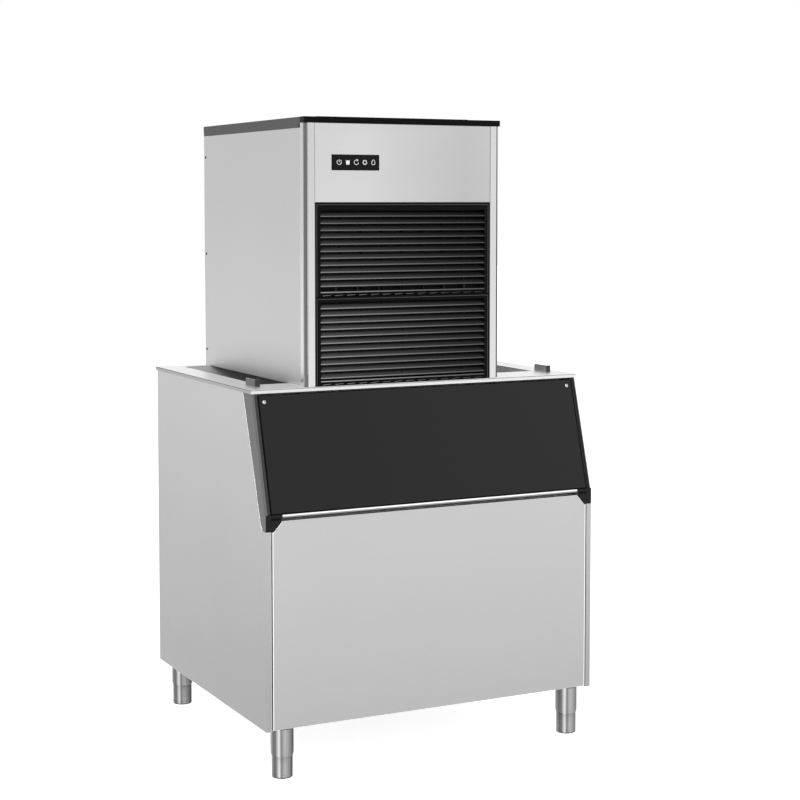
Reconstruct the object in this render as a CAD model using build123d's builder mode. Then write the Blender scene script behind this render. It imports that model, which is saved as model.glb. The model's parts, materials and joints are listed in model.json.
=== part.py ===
"""Nugget ice machine: an air-cooled ice maker head on a wide insulated storage bin.

Millimetres. +X is to the right of someone who faces the machine, +Y points to its back and +Z up.
The origin is on the floor, under the middle of the machine's outline.
"""

import os
from math import atan2, cos, hypot, radians, sin, tan

from build123d import *

os.makedirs("parts", exist_ok=True)

# Storage bin, outer sizes
bin_width = 942.0
bin_depth = 795.0
case_height = 840.0
leg_height = 125.0
lower_front_height = 542.0
slant_run = 87.0
rear_reach = 22.0
sheet = 1.5
flange = 15.0
fold_share = 0.8
panel_gap = 3.0

# Rim around the bin's top opening
rim_overhang = 3.0
rim_lip = 10.5
rim_side_width = 66.0
rim_front_width = 115.0
rim_rear_width = 40.0
rim_sheet = 2.0
tab_length = 62.0
tab_width = 7.0
tab_height = 18.0
tab_setback = 66.0
tab_inset = 36.0

# Bin tub and its foam
liner_wall = 3.0
liner_radius = 28.0
liner_floor_height = 62.0
liner_front_thickness = 52.0
liner_draft = 12.0
foam_clearance = 0.3
drain_bore = 10.0
drain_thread_radius = 13.2
drain_thread_length = 40.0
drain_neck_radius = 12.0
drain_flange_radius = 24.0
drain_reach = 48.0
drain_inset = 125.0

# Bin door and its frames
frame_width = 12.5
frame_top_depth = 60.0
frame_low_depth = 34.0
frame_tip_depth = 22.0
frame_nose = 5.0
bracket_width = 42.0
bracket_height = 41.0
bracket_corner = 22.0
bracket_depth = 22.0
door_thickness = 39.0
door_skin = 3.0
door_side_gap = 2.0
door_top_gap = 1.5
door_barrel_rise = 6.0
door_pivot_depth = 14.0
door_plug_depth = 18.0
door_plug_gap = 12.0
door_plug_taper = 10.0
throat_sill = 34.0
throat_side_margin = 32.0
throat_sheet = 2.0
gasket_width = 10.0
gasket_height = 5.0
handle_height = 7.5
handle_flange = 26.0
handle_stand = 1.0
finger_gap = 8.0
pin_radius = 4.0
pin_length = 26.0
running_clearance = 0.1
door_screw_radius = 5.0
door_screw_inset = 16.0
door_screw_rise = 6.0
hinge_boss_radius = 10.0
pin_seat = 9.5

# Legs
leg_inset_x = 55.0
leg_inset_y = 33.0
socket_radius = 29.0
socket_length = 70.0
socket_wall = 2.0
socket_taper = 1.5
socket_taper_height = 9.0
socket_nut = 14.0
foot_radius = 26.5
foot_round = 3.0
foot_round_step = 0.9
foot_stem_radius = 8.0
leg_gap = 0.3

# Ice maker head, outer sizes
head_width = 560.0
head_height = 662.0
head_offset = -46.0
head_sheet = 1.2
lid_band = 15.0
lid_skirt = 27.0
lid_sheet = 1.5
lid_overhang = 0.5
head_fold = 12.0
head_gap = 0.3
plateau_height = 4.0
plateau_inset = 60.0
plateau_rear_inset = 120.0
post_front = 28.0
post_side = 28.0
post_radius = 9.0
post_sheet = 2.0
base_sheet = 2.0
base_flange = 20.0

# Louvred grilles
grille_height = 463.0
grille_split = 238.0
grille_depth = 18.0
grille_stile = 16.0
grille_recess = 1.0
slat_pitch = 17.6
slat_lip = 3.5
slat_rise = 13.0
slat_thickness = 2.2
slat_back = 15.0
slat_top_margin = 33.0
lower_slat_top_margin = 27.0
ledge_height = 3.0
ledge_drop = 10.0
rib_count = 7
rib_thickness = 2.5
vent_slot_count = 14
vent_slot_width = 22.0
vent_slot_height = 4.0
seam_gap = 0.4

# Control panel
control_width = 133.0
control_height = 39.0
control_left = 74.5
control_drop = 79.0
control_thickness = 3.0
board_gap = 9.0
board_thickness = 1.6
board_margin = 3.0
board_post_inset = 9.0
board_post_radius = 2.4
chip_left = 40.0
chip_width = 20.0
chip_drop = 12.0
chip_height = 15.0

# Cooling parts behind the grilles
filter_thickness = 8.0
filter_mesh_count = 8
condenser_gap = 14.0
condenser_thickness = 46.0
condenser_width = 430.0
condenser_height = 400.0
condenser_fin_count = 24
condenser_fin_gap = 6.0
shroud_depth = 50.0
shroud_wall = 2.0
fan_radius = 150.0
fan_tip_gap = 8.0
fan_hub_radius = 30.0
fan_hub_length = 28.0
fan_blade_count = 5
fan_blade_thickness = 2.0
fan_root_chord = 60.0
fan_root_angle = 39.0
fan_tip_chord = 112.0
fan_tip_angle = 20.0
fan_shaft_radius = 4.0
motor_radius = 42.0
motor_length = 78.0
motor_gap = 6.0
strut_width = 10.0
strut_count = 3

# Compressor
compressor_radius = 88.0
compressor_height = 190.0
compressor_left = 430.0
compressor_back = 150.0
compressor_foot_height = 18.0
compressor_foot_radius = 12.0
compressor_plate = 3.0
compressor_dome = 31.0
compressor_dome_step = 9.0

# Evaporator and its drive
evaporator_left = 128.0
evaporator_back = 300.0
gearbox_width = 130.0
gearbox_length = 270.0
gearbox_height = 92.0
drive_motor_radius = 50.0
drive_motor_length = 120.0
drive_motor_shift = 150.0
barrel_bore = 32.0
barrel_wall = 3.5
barrel_foam = 20.0
barrel_height = 300.0
barrel_flange_radius = 58.0
barrel_flange = 8.0
auger_core_radius = 18.0
auger_clearance = 0.6
auger_pitch = 60.0
auger_flight_thickness = 5.0
auger_shaft_radius = 12.0
auger_foot = 30.0
extruder_radius = 50.0
extruder_height = 70.0
extruder_port_count = 8
extruder_port_radius = 5.0
extruder_cap = 12.0

# Ice chute
chute_width = 96.0
chute_wall = 2.5
chute_left = 215.0
chute_right = 330.0
flap_height = 70.0
flap_thickness = 2.0
flap_pin_radius = 2.5
flap_top_drop = 12.0

# Water parts
reservoir_width = 170.0
reservoir_depth = 110.0
reservoir_height = 105.0
reservoir_wall = 2.5
reservoir_level = 340.0
reservoir_left = 38.0
inlet_radius = 13.2
inlet_bore = 8.0
inlet_neck = 4.0
inlet_neck_radius = 12.0
valve_body = 24.0
float_radius = 19.0
float_height = 24.0
float_arm_length = 52.0
float_arm_section = 4.0
float_pin_radius = 2.0
float_drop = 36.0
float_rest_angle = 25.0

# Electrical parts
ebox_width = 190.0
ebox_depth = 80.0
ebox_height = 150.0
ebox_drop = 20.0
ebox_wall = 1.5
gland_radius = 14.0
gland_neck_radius = 9.8
gland_tip_radius = 11.2
gland_shoulder = 7.2
gland_bore = 5.5
gland_height = 90.0
gland_inset = 70.0
gland_reach = 18.0

# Refrigerant parts
drier_radius = 16.0
drier_length = 110.0
pipe_radius = 4.75
suction_pipe_radius = 7.0
pipe_bend = 24.0

# Back panel louvres and side screws
exhaust_rows = 9
exhaust_pitch = 22.0
exhaust_width = 90.0
exhaust_places = (-15.0, 90.0)
exhaust_height = 6.0
exhaust_low = 150.0
screw_radius = 4.0
screw_head = 1.6
screw_inset = 13.0
screw_levels = (45.0, 317.0, 590.0)

# Places that follow from the sizes
side_x = bin_width / 2
door_barrel_radius = hypot(door_thickness - door_pivot_depth, door_barrel_rise)
door_shell_depth = door_thickness - door_skin
front_y = (handle_stand - bin_depth - rear_reach) / 2
rear_y = front_y + bin_depth
case_z = leg_height
rim_z = leg_height + case_height
slant_z = case_z + lower_front_height
slant_angle = atan2(slant_run, rim_z - slant_z)
slant_length = hypot(slant_run, rim_z - slant_z)
rim_front_y = front_y + slant_run
open_front_y = rim_front_y + rim_front_width
open_rear_y = rear_y - rim_rear_width
open_x = side_x - rim_side_width
panel_top_z = slant_z - handle_height - finger_gap - panel_gap
bracket_top_z = slant_z - panel_gap
bracket_low_z = bracket_top_z - bracket_height
frame_x = side_x - frame_width
door_x = frame_x - door_side_gap
panel_x = side_x - flange - panel_gap

head_x = head_offset - head_width / 2
head_right_x = head_x + head_width
head_y = rim_front_y
head_z = rim_z
head_top_z = head_z + head_height
lid_top_z = head_top_z + lid_band
inner_head_z = head_z + base_sheet


def slant_y(z):
    """Y of the slanted front's outer plane at a height."""
    return front_y + (z - slant_z) * tan(slant_angle)


# Local x of this plane runs up the slant and local y out of it, so a door section is drawn side on
door_section = Plane(origin=(0, front_y, slant_z), x_dir=(0, sin(slant_angle), cos(slant_angle)),
                     z_dir=(1, 0, 0))
# Local x of this plane is the machine's, local y runs up the slant, and it faces outwards
door_face = Plane(origin=(0, front_y, slant_z), x_dir=(1, 0, 0),
                  z_dir=(0, -cos(slant_angle), sin(slant_angle)))
pivot_s = slant_length - rim_lip / cos(slant_angle) - door_top_gap - door_barrel_radius
pivot_y = front_y + pivot_s * sin(slant_angle) + door_pivot_depth * cos(slant_angle)
pivot_z = slant_z + pivot_s * cos(slant_angle) - door_pivot_depth * sin(slant_angle)


def block(low, high, mode=Mode.ADD):
    """A box from its lowest corner to its highest one, in the part being built."""
    middle = [(a + b) / 2 for a, b in zip(low, high)]
    with Locations(tuple(middle)):
        Box(*[b - a for a, b in zip(low, high)], mode=mode)


def prism(plane, points, depth, both=False, mode=Mode.ADD):
    """A closed outline of points on a plane, extruded along the plane's normal."""
    with BuildSketch(plane) as outline:
        with BuildLine():
            Polyline(*points, close=True)
        make_face()
    extrude(outline.sketch, amount=depth, both=both, mode=mode)


def tub_form(grow):
    """The tub's inside, grown by a wall: a slanted upper front, drafted sides and round corners."""
    top = rim_z + 1
    low = case_z + liner_floor_height - grow
    front = front_y + liner_front_thickness - grow
    rear = open_rear_y + grow
    bend = slant_z - panel_gap
    with BuildPart() as tub:
        with BuildSketch(Plane.YZ):
            with BuildLine():
                Polyline((front, low), (rear - liner_draft, low), (rear, top), (open_front_y - grow, top),
                         (front, bend), close=True)
            make_face()
        extrude(amount=open_x + grow, both=True)
        with BuildSketch(Plane.XZ.offset(-rear - 1)):
            with BuildLine():
                Polyline((-open_x - grow, top), (open_x + grow, top),
                         (open_x + grow - liner_draft, low), (-open_x - grow + liner_draft, low),
                         close=True)
            make_face()
        extrude(amount=2 * bin_depth, mode=Mode.INTERSECT)
        rounded = tub.edges().filter_by(lambda edge: edge.center().Z < top - 0.01)
        fillet(rounded, radius=liner_radius + grow)
    return tub.part


# Bin side panels: sheet folded round the front corner, cut back where the door frame covers the edge
def side_panel(side):
    """One side of the bin case, on the side given by the sign."""
    outer = side * side_x
    with BuildPart() as panel:
        prism(Plane.YZ.offset(outer), [
            (front_y, case_z),
            (rear_y, case_z),
            (rear_y, rim_z - rim_sheet),
            (slant_y(rim_z) + frame_top_depth + foam_clearance, rim_z - rim_sheet),
            (front_y + frame_low_depth + foam_clearance, bracket_low_z + frame_tip_depth),
            (front_y + frame_tip_depth + foam_clearance, bracket_low_z - foam_clearance),
            (front_y, bracket_low_z - foam_clearance),
        ], -side * sheet)
        inner_flange = side * (side_x - flange)
        block((min(outer, inner_flange), front_y, case_z),
              (max(outer, inner_flange), front_y + sheet, bracket_low_z - foam_clearance))
        block((min(outer, inner_flange), rear_y - sheet, case_z),
              (max(outer, inner_flange), rear_y, rim_z - rim_sheet))
        upright = panel.edges().filter_by(Axis.Z)
        outside = upright.filter_by(lambda edge: abs(edge.center().X - outer) < 0.01)
        fillet(outside.filter_by(lambda edge: abs(edge.center().Y - front_y) < 0.01
                                 or abs(edge.center().Y - rear_y) < 0.01), radius=sheet * fold_share)
    return panel


bin_left_panel = side_panel(-1)
bin_left_panel.part.label = "bin_left_panel"
export_step(bin_left_panel.part, "parts/bin_left_panel.step")

bin_right_panel = side_panel(1)
bin_right_panel.part.label = "bin_right_panel"
export_step(bin_right_panel.part, "parts/bin_right_panel.step")

# Lower front panel: a shallow pan whose upper corners are cut off under the door brackets
bracket_foot = bracket_width - bracket_corner
with BuildPart() as bin_front_panel:
    with BuildSketch(Plane.XZ.offset(-front_y)) as front_outline:
        with BuildLine():
            Polyline((-panel_x, case_z + panel_gap), (panel_x, case_z + panel_gap),
                     (panel_x, bracket_low_z - panel_gap),
                     (side_x - bracket_foot, bracket_low_z - panel_gap),
                     (side_x - bracket_width - panel_gap, panel_top_z - foam_clearance),
                     (-side_x + bracket_width + panel_gap, panel_top_z - foam_clearance),
                     (-side_x + bracket_foot, bracket_low_z - panel_gap),
                     (-panel_x, bracket_low_z - panel_gap), close=True)
        make_face()
    extrude(amount=-flange)
    with BuildSketch(Plane.XZ.offset(-front_y - sheet)):
        add(front_outline.sketch.moved(Location((0, sheet, 0))))
        offset(amount=-sheet)
    extrude(amount=-flange, mode=Mode.SUBTRACT)
bin_front_panel.part.label = "bin_front_panel"
export_step(bin_front_panel.part, "parts/bin_front_panel.step")

# Back panel of the bin, between the side panels' rear folds
with BuildPart() as bin_back_panel:
    block((-side_x + flange + foam_clearance, rear_y - sheet, case_z),
          (side_x - flange - foam_clearance, rear_y, rim_z - rim_sheet))
bin_back_panel.part.label = "bin_back_panel"
export_step(bin_back_panel.part, "parts/bin_back_panel.step")

# Bottom panel of the bin, with the drain's hole
drain_y = rear_y - drain_inset
inner_x = side_x - sheet
with BuildPart() as bin_bottom_panel:
    block((-inner_x, front_y + flange, case_z), (inner_x, rear_y - sheet, case_z + sheet))
    with Locations((0, drain_y, case_z + sheet / 2)):
        Cylinder(drain_thread_radius + foam_clearance, 4 * sheet, mode=Mode.SUBTRACT)
bin_bottom_panel.part.label = "bin_bottom_panel"
export_step(bin_bottom_panel.part, "parts/bin_bottom_panel.step")

# Throat: the opening that the door closes, cut square to the slanted front
throat_x = open_x - throat_side_margin
throat_high_s = pivot_s - door_barrel_radius - gasket_width
door_back = door_thickness + gasket_height
sill_z = panel_top_z - throat_sheet
tub_inside = tub_form(0)
tub_outside = tub_form(liner_wall)
throat_reach = open_front_y - front_y


def throat_prism(margin, start, depth, mode):
    """A prism the size of the throat, grown by a margin, from a depth behind the slanted front."""
    with BuildSketch(door_face.offset(-start)) as opening:
        with Locations((0, (throat_sill + throat_high_s) / 2)):
            Rectangle(2 * (throat_x + margin), throat_high_s - throat_sill + 2 * margin)
    extrude(opening.sketch, amount=-depth, mode=mode)


def cheek_outline(grow):
    """The door frame's side outline, its rear edges moved back by a clearance."""
    top_z = rim_z - rim_lip - foam_clearance
    return [
        (slant_y(top_z), top_z),
        (slant_y(top_z) + frame_top_depth + grow, top_z),
        (front_y + frame_low_depth + grow, bracket_low_z + frame_tip_depth),
        (front_y + frame_tip_depth + grow, bracket_low_z - grow),
        (front_y, bracket_low_z - grow),
        (front_y, slant_z),
    ]


# Tub: one seamless wall with round corners, an open top, the throat's window and the drain's hole
liner_floor_z = case_z + liner_floor_height
with BuildPart() as bin_liner:
    add(tub_outside)
    add(tub_inside, mode=Mode.SUBTRACT)
    split(bisect_by=Plane.XY.offset(rim_z - rim_sheet), keep=Keep.BOTTOM)
    throat_prism(0, 0, throat_reach, Mode.SUBTRACT)
    with Locations((0, drain_y, liner_floor_z)):
        Cylinder(drain_thread_radius + foam_clearance, 4 * liner_wall, mode=Mode.SUBTRACT)
bin_liner.part.label = "bin_liner"
export_step(bin_liner.part, "parts/bin_liner.step")

# Foam between the tub and the case, cut away for the throat, the door and the frames
foam_x = side_x - sheet - foam_clearance
with BuildPart() as bin_insulation:
    foam_low_z = case_z + sheet + foam_clearance
    foam_top_z = rim_z - rim_lip - foam_clearance
    foam_front_y = front_y + flange + foam_clearance
    foam_rear_y = rear_y - sheet - foam_clearance
    foam_sill_z = sill_z - foam_clearance
    foam_back = (door_back + throat_sheet + foam_clearance) / cos(slant_angle)
    with BuildSketch(Plane.YZ):
        with BuildLine():
            Polyline((foam_front_y, foam_low_z), (foam_rear_y, foam_low_z),
                     (foam_rear_y, foam_top_z), (slant_y(foam_top_z) + foam_back, foam_top_z),
                     (slant_y(slant_z) + foam_back, slant_z), (front_y + foam_back, foam_sill_z),
                     (foam_front_y, foam_sill_z), close=True)
        make_face()
    extrude(amount=foam_x, both=True)
    add(tub_outside, mode=Mode.SUBTRACT)
    throat_prism(throat_sheet + foam_clearance, 0, throat_reach, Mode.SUBTRACT)
    for side in (-1, 1):
        prism(Plane.YZ.offset(side * side_x), cheek_outline(2 * foam_clearance),
              -side * (frame_width + foam_clearance), mode=Mode.SUBTRACT)
        bracket_inner_x = side * (side_x - bracket_width - foam_clearance)
        block((min(bracket_inner_x, side * side_x), front_y, bracket_low_z - foam_clearance),
              (max(bracket_inner_x, side * side_x), front_y + bracket_depth + foam_clearance, slant_z),
              mode=Mode.SUBTRACT)
    with Locations((0, drain_y, case_z)):
        Cylinder(drain_thread_radius + foam_clearance, 4 * liner_floor_height, mode=Mode.SUBTRACT)
bin_insulation.part.label = "bin_insulation"
export_step(bin_insulation.part, "parts/bin_insulation.step")

# Throat frame: a moulded plate on the foam's slant, with a sill and a square collar to the tub's window
with BuildPart() as door_throat:
    throat_face_y = front_y + door_back / cos(slant_angle)
    throat_wall_y = throat_face_y + throat_sheet / cos(slant_angle)
    prism(Plane.YZ, [
        (front_y + flange + foam_clearance, panel_top_z),
        (throat_face_y, panel_top_z),
        (throat_face_y, slant_z),
        (slant_y(foam_top_z) + door_back / cos(slant_angle), foam_top_z),
        (slant_y(foam_top_z) + door_back / cos(slant_angle) + throat_wall_y - throat_face_y, foam_top_z),
        (throat_wall_y, slant_z),
        (throat_wall_y, sill_z),
        (front_y + flange + foam_clearance, sill_z),
    ], frame_x - foam_clearance, both=True)
    throat_prism(throat_sheet, door_back, throat_reach, Mode.ADD)
    throat_prism(0, 0, 2 * throat_reach, Mode.SUBTRACT)
    add(tub_outside, mode=Mode.SUBTRACT)
    for side in (-1, 1):
        bracket_inner_x = side * (side_x - bracket_width - foam_clearance)
        block((min(bracket_inner_x, side * side_x), front_y, case_z),
              (max(bracket_inner_x, side * side_x), front_y + bracket_depth + foam_clearance, slant_z),
              mode=Mode.SUBTRACT)
door_throat.part.label = "door_throat"
export_step(door_throat.part, "parts/door_throat.step")

# Rim: folded sheet with an outer lip over the case and an inner lip into the tub
with BuildPart() as bin_rim:
    rim_low = (-side_x - rim_overhang, rim_front_y - rim_overhang, rim_z - rim_lip)
    rim_high = (side_x + rim_overhang, rear_y + rim_overhang, rim_z)
    block(rim_low, rim_high)
    fillet(bin_rim.edges().group_by(Axis.Z)[-1], radius=rim_sheet * fold_share)
    block((rim_low[0] + rim_sheet, rim_low[1] + rim_sheet, rim_low[2]),
          (rim_high[0] - rim_sheet, rim_high[1] - rim_sheet, rim_z - rim_sheet), mode=Mode.SUBTRACT)
    block((-open_x, open_front_y, rim_low[2]), (open_x, open_rear_y, rim_high[2]), mode=Mode.SUBTRACT)
bin_rim.part.label = "bin_rim"
export_step(bin_rim.part, "parts/bin_rim.step")

# Two guide tabs that stand on the rim, each a bent angle
with BuildPart() as rim_tabs:
    for tab_x in (-side_x + tab_inset, side_x - tab_inset - 2 * tab_width):
        tab_y = rim_front_y + tab_setback
        block((tab_x, tab_y, rim_z), (tab_x + tab_width / 2, tab_y + tab_length, rim_z + tab_height))
        block((tab_x, tab_y, rim_z), (tab_x + 2 * tab_width, tab_y + tab_width / 2, rim_z + tab_height))
        block((tab_x, tab_y, rim_z), (tab_x + 2 * tab_width, tab_y + tab_length, rim_z + rim_sheet))
rim_tabs.part.label = "rim_tabs"
export_step(rim_tabs.part, "parts/rim_tabs.step")


# Door frames: moulded cheeks beside the door, each ending in a bracket over the case corner
def door_frame(side):
    """The cheek on one side, with the bore that carries the hinge pin."""
    outer = side * side_x
    with BuildPart() as frame:
        prism(Plane.YZ.offset(outer), cheek_outline(0), -side * frame_width)
        nose = frame.edges().filter_by(lambda edge: abs(edge.center().X - outer) < 0.01
                                       and edge.length > slant_length * 0.8
                                       and edge.center().Y < slant_y(edge.center().Z) + 1)
        chamfer(nose, length=frame_nose)
        prism(Plane.XZ.offset(-front_y), [
            (outer, bracket_top_z),
            (outer, bracket_low_z),
            (side * (side_x - bracket_foot), bracket_low_z),
            (side * (side_x - bracket_width), bracket_low_z + bracket_corner),
            (side * (side_x - bracket_width), bracket_top_z),
        ], -bracket_depth)
        with Locations(Location((side * (frame_x + pin_seat / 2), pivot_y, pivot_z), (0, 90, 0))):
            Cylinder(pin_radius, pin_seat, mode=Mode.SUBTRACT)
    return frame


left_door_frame = door_frame(-1)
left_door_frame.part.label = "left_door_frame"
export_step(left_door_frame.part, "parts/left_door_frame.step")

right_door_frame = door_frame(1)
right_door_frame.part.label = "right_door_frame"
export_step(right_door_frame.part, "parts/right_door_frame.step")

# Hinge pins, pressed into the frames and free in the door
with BuildPart() as door_hinge_pins:
    for side in (-1, 1):
        pin_x = side * (frame_x + pin_seat - pin_length / 2)
        with Locations(Location((pin_x, pivot_y, pivot_z), (0, 90, 0))):
            Cylinder(pin_radius, pin_length)
door_hinge_pins.part.label = "door_hinge_pins"
export_step(door_hinge_pins.part, "parts/door_hinge_pins.step")


def section_s(n, z):
    """How far up the slant a point lies that is n out of the slanted front, at a height."""
    return ((z - slant_z) - n * sin(slant_angle)) / cos(slant_angle)


def barrel_rise(depth):
    """How far above the pivot the door's round top end lies, at a depth behind the door's face."""
    return (door_barrel_radius ** 2 - (depth - door_pivot_depth) ** 2) ** 0.5


def door_profile(front, back, low_z):
    """The door's closed side outline between two depths, with its top end round about the pivot."""
    front_rise = barrel_rise(front)
    back_rise = barrel_rise(back)
    middle = (max(front, 0) + back) / 2
    with BuildSketch(door_section) as profile:
        with BuildLine():
            Polyline((pivot_s + back_rise, -back), (section_s(-back, low_z), -back),
                     (section_s(-front, low_z), -front), (pivot_s + front_rise, -front))
            ThreePointArc((pivot_s + front_rise, -front), (pivot_s + barrel_rise(middle), -middle),
                          (pivot_s + back_rise, -back))
        make_face()
    return profile.sketch


door_low_z = slant_z - panel_gap + foam_clearance

# Door shell: a moulded tray with a rounded top edge and a boss for each hinge pin
with BuildPart() as door_shell:
    extrude(door_profile(0, door_shell_depth, door_low_z), amount=door_x, both=True)
    prism(door_section, [
        (section_s(-door_skin, door_low_z + door_skin), -door_skin),
        (pivot_s + door_barrel_rise, -door_skin),
        (pivot_s + door_barrel_rise, -door_shell_depth),
        (section_s(-door_shell_depth, door_low_z + door_skin), -door_shell_depth),
    ], door_x - door_skin, both=True, mode=Mode.SUBTRACT)
    boss_length = pin_length - pin_seat
    for side in (-1, 1):
        with Locations(Location((side * (door_x - boss_length / 2), pivot_y, pivot_z), (0, 90, 0))):
            Cylinder(hinge_boss_radius, boss_length)
        with Locations(Location((side * (door_x - boss_length / 2), pivot_y, pivot_z), (0, 90, 0))):
            Cylinder(pin_radius + running_clearance, boss_length, mode=Mode.SUBTRACT)
door_shell.part.label = "door_shell"
export_step(door_shell.part, "parts/door_shell.step")

# Inner panel: closes the door's back, with a raised plug that fills the throat
with BuildPart() as door_inner_panel:
    extrude(door_profile(door_shell_depth, door_thickness, door_low_z), amount=door_x, both=True)
    with BuildSketch(door_face.offset(-door_shell_depth)):
        with Locations((0, (throat_sill + throat_high_s) / 2)):
            Rectangle(2 * (throat_x - door_plug_gap), throat_high_s - throat_sill - 2 * door_plug_gap)
    extrude(amount=-door_plug_depth - door_skin, taper=door_plug_taper)
    plug_rim = door_inner_panel.faces().sort_by(Axis(door_face.origin, door_face.z_dir))[0]
    chamfer(plug_rim.edges(), length=door_skin)
door_inner_panel.part.label = "door_inner_panel"
export_step(door_inner_panel.part, "parts/door_inner_panel.step")

# Door gasket: a soft ring on the door's back, round the throat
with BuildPart() as door_gasket:
    with BuildSketch(door_face.offset(-door_thickness - foam_clearance)):
        with Locations((0, (throat_sill + throat_high_s) / 2)):
            Rectangle(2 * (throat_x + gasket_width), throat_high_s - throat_sill + 2 * gasket_width)
            Rectangle(2 * throat_x, throat_high_s - throat_sill, mode=Mode.SUBTRACT)
    extrude(amount=-(gasket_height - 2 * foam_clearance))
door_gasket.part.label = "door_gasket"
export_step(door_gasket.part, "parts/door_gasket.step")

# Handle strip: a steel angle along the door's lower edge, with the finger gap below it
with BuildPart() as door_handle_strip:
    handle_x = side_x - bracket_width - panel_gap
    handle_top_z = slant_z - panel_gap
    block((-handle_x, front_y - handle_stand, handle_top_z - handle_height),
          (handle_x, front_y - handle_stand + sheet, handle_top_z))
    block((-handle_x, front_y - handle_stand, handle_top_z - sheet),
          (handle_x, front_y + handle_flange, handle_top_z))
    fillet(door_handle_strip.edges().filter_by(Axis.X).group_by(Axis.Y)[0], radius=sheet / 3)
door_handle_strip.part.label = "door_handle_strip"
export_step(door_handle_strip.part, "parts/door_handle_strip.step")

# Two screws that hold the hinge bosses, with domed heads on the door's face
with BuildPart() as door_screws:
    for side in (-1, 1):
        screw_plane = Plane(origin=door_face.from_local_coords(
            (side * (door_x - door_screw_inset), pivot_s + door_screw_rise, 0)),
            x_dir=(1, 0, 0), z_dir=door_face.z_dir)
        with BuildSketch(screw_plane) as head:
            Circle(door_screw_radius)
        extrude(head.sketch, amount=screw_head)
door_screws.part.label = "door_screws"
export_step(door_screws.part, "parts/door_screws.step")


# Legs: a tapered steel socket under each corner and a foot that screws out of it
def leg_socket(leg_x, leg_y):
    """A socket tube with a closed top and a nut at its lower end."""
    with BuildPart() as socket:
        with BuildSketch(Plane.XZ):
            with BuildLine():
                Polyline((0, 0), (socket_radius, 0), (socket_radius, -socket_length + socket_taper_height),
                         (socket_radius - socket_taper, -socket_length),
                         (foot_stem_radius + running_clearance, -socket_length),
                         (foot_stem_radius + running_clearance, -socket_length + socket_nut),
                         (socket_radius - socket_taper - socket_wall, -socket_length + socket_nut),
                         (socket_radius - socket_taper - socket_wall, -socket_wall),
                         (0, -socket_wall), close=True)
            make_face()
        revolve(axis=Axis.Z)
    return socket.part.moved(Location((leg_x, leg_y, case_z)))


def leg_foot(leg_x, leg_y):
    """A round foot with a soft lower edge and a threaded stem inside the socket."""
    foot_top = leg_height - socket_length - leg_gap
    stem_top = leg_height - socket_wall - socket_taper
    with BuildPart() as foot:
        with BuildSketch(Plane.XZ):
            with BuildLine():
                Polyline((0, 0), (foot_radius - foot_round, 0),
                         (foot_radius - foot_round_step, foot_round_step), (foot_radius, foot_round),
                         (foot_radius, foot_top), (foot_stem_radius, foot_top),
                         (foot_stem_radius, stem_top), (0, stem_top), close=True)
            make_face()
        revolve(axis=Axis.Z)
    return foot.part.moved(Location((leg_x, leg_y, 0)))


leg_places = {
    "front_left": (-side_x + leg_inset_x, front_y + leg_inset_y),
    "front_right": (side_x - leg_inset_x, front_y + leg_inset_y),
    "rear_left": (-side_x + leg_inset_x, rear_y - leg_inset_y),
    "rear_right": (side_x - leg_inset_x, rear_y - leg_inset_y),
}
leg_sockets = Compound(children=[leg_socket(*spot) for spot in leg_places.values()])
leg_sockets.label = "leg_sockets"
export_step(leg_sockets, "parts/leg_sockets.step")
for place, (leg_x, leg_y) in leg_places.items():
    foot_part = leg_foot(leg_x, leg_y)
    foot_part.label = f"leg_foot_{place}"
    export_step(foot_part, f"parts/leg_foot_{place}.step")

# Drain: a threaded spigot through the floor, with a flange in the tub and a strainer grid
with BuildPart() as bin_drain_fitting:
    drain_low_z = case_z - drain_reach
    drain_neck_z = drain_low_z + drain_thread_length
    with BuildSketch(Plane.XZ):
        with BuildLine():
            Polyline((drain_bore, drain_low_z), (drain_thread_radius, drain_low_z),
                     (drain_thread_radius, drain_neck_z), (drain_neck_radius, drain_neck_z),
                     (drain_neck_radius, liner_floor_z + foam_clearance),
                     (drain_flange_radius, liner_floor_z + foam_clearance),
                     (drain_flange_radius - sheet, liner_floor_z + liner_wall),
                     (drain_bore, liner_floor_z + liner_wall), close=True)
        make_face()
    revolve(axis=Axis.Z)
    for angle in (0, 90):
        with Locations(Location((0, 0, liner_floor_z + sheet), (0, 0, angle))):
            Box(2 * (drain_bore + sheet), sheet, sheet)
bin_drain_part = bin_drain_fitting.part.moved(Location((0, drain_y, 0)))
bin_drain_part.label = "bin_drain_fitting"
export_step(bin_drain_part, "parts/bin_drain_fitting.step")


# Head base pan: a folded floor with the hole that the ice drops through
drop_x0 = head_x + chute_left
drop_x1 = head_x + chute_right
evaporator_x = head_x + evaporator_left
evaporator_y = rear_y - evaporator_back
base_front_y = head_y + post_side + seam_gap + head_sheet + head_gap
base_x0 = head_x + head_sheet
base_x1 = head_right_x - head_sheet
base_rear_y = rear_y - head_sheet - head_gap
with BuildPart() as head_base:
    block((base_x0, base_front_y, head_z), (base_x1, base_rear_y, head_z + base_flange))
    block((base_x0 + base_sheet, base_front_y + base_sheet, inner_head_z),
          (base_x1 - base_sheet, base_rear_y - base_sheet, head_z + base_flange), mode=Mode.SUBTRACT)
    block((drop_x0 - head_gap, evaporator_y - chute_width / 2 - head_gap, head_z),
          (drop_x1 + head_gap, evaporator_y + chute_width / 2 + head_gap, inner_head_z), mode=Mode.SUBTRACT)
head_base.part.label = "head_base"
export_step(head_base.part, "parts/head_base.step")

# Head side panels: sheet with a fold at each upright edge, ending under the lid's skirt
panel_front_y = head_y + post_side + seam_gap
skirt_low_z = lid_top_z - lid_skirt


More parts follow.
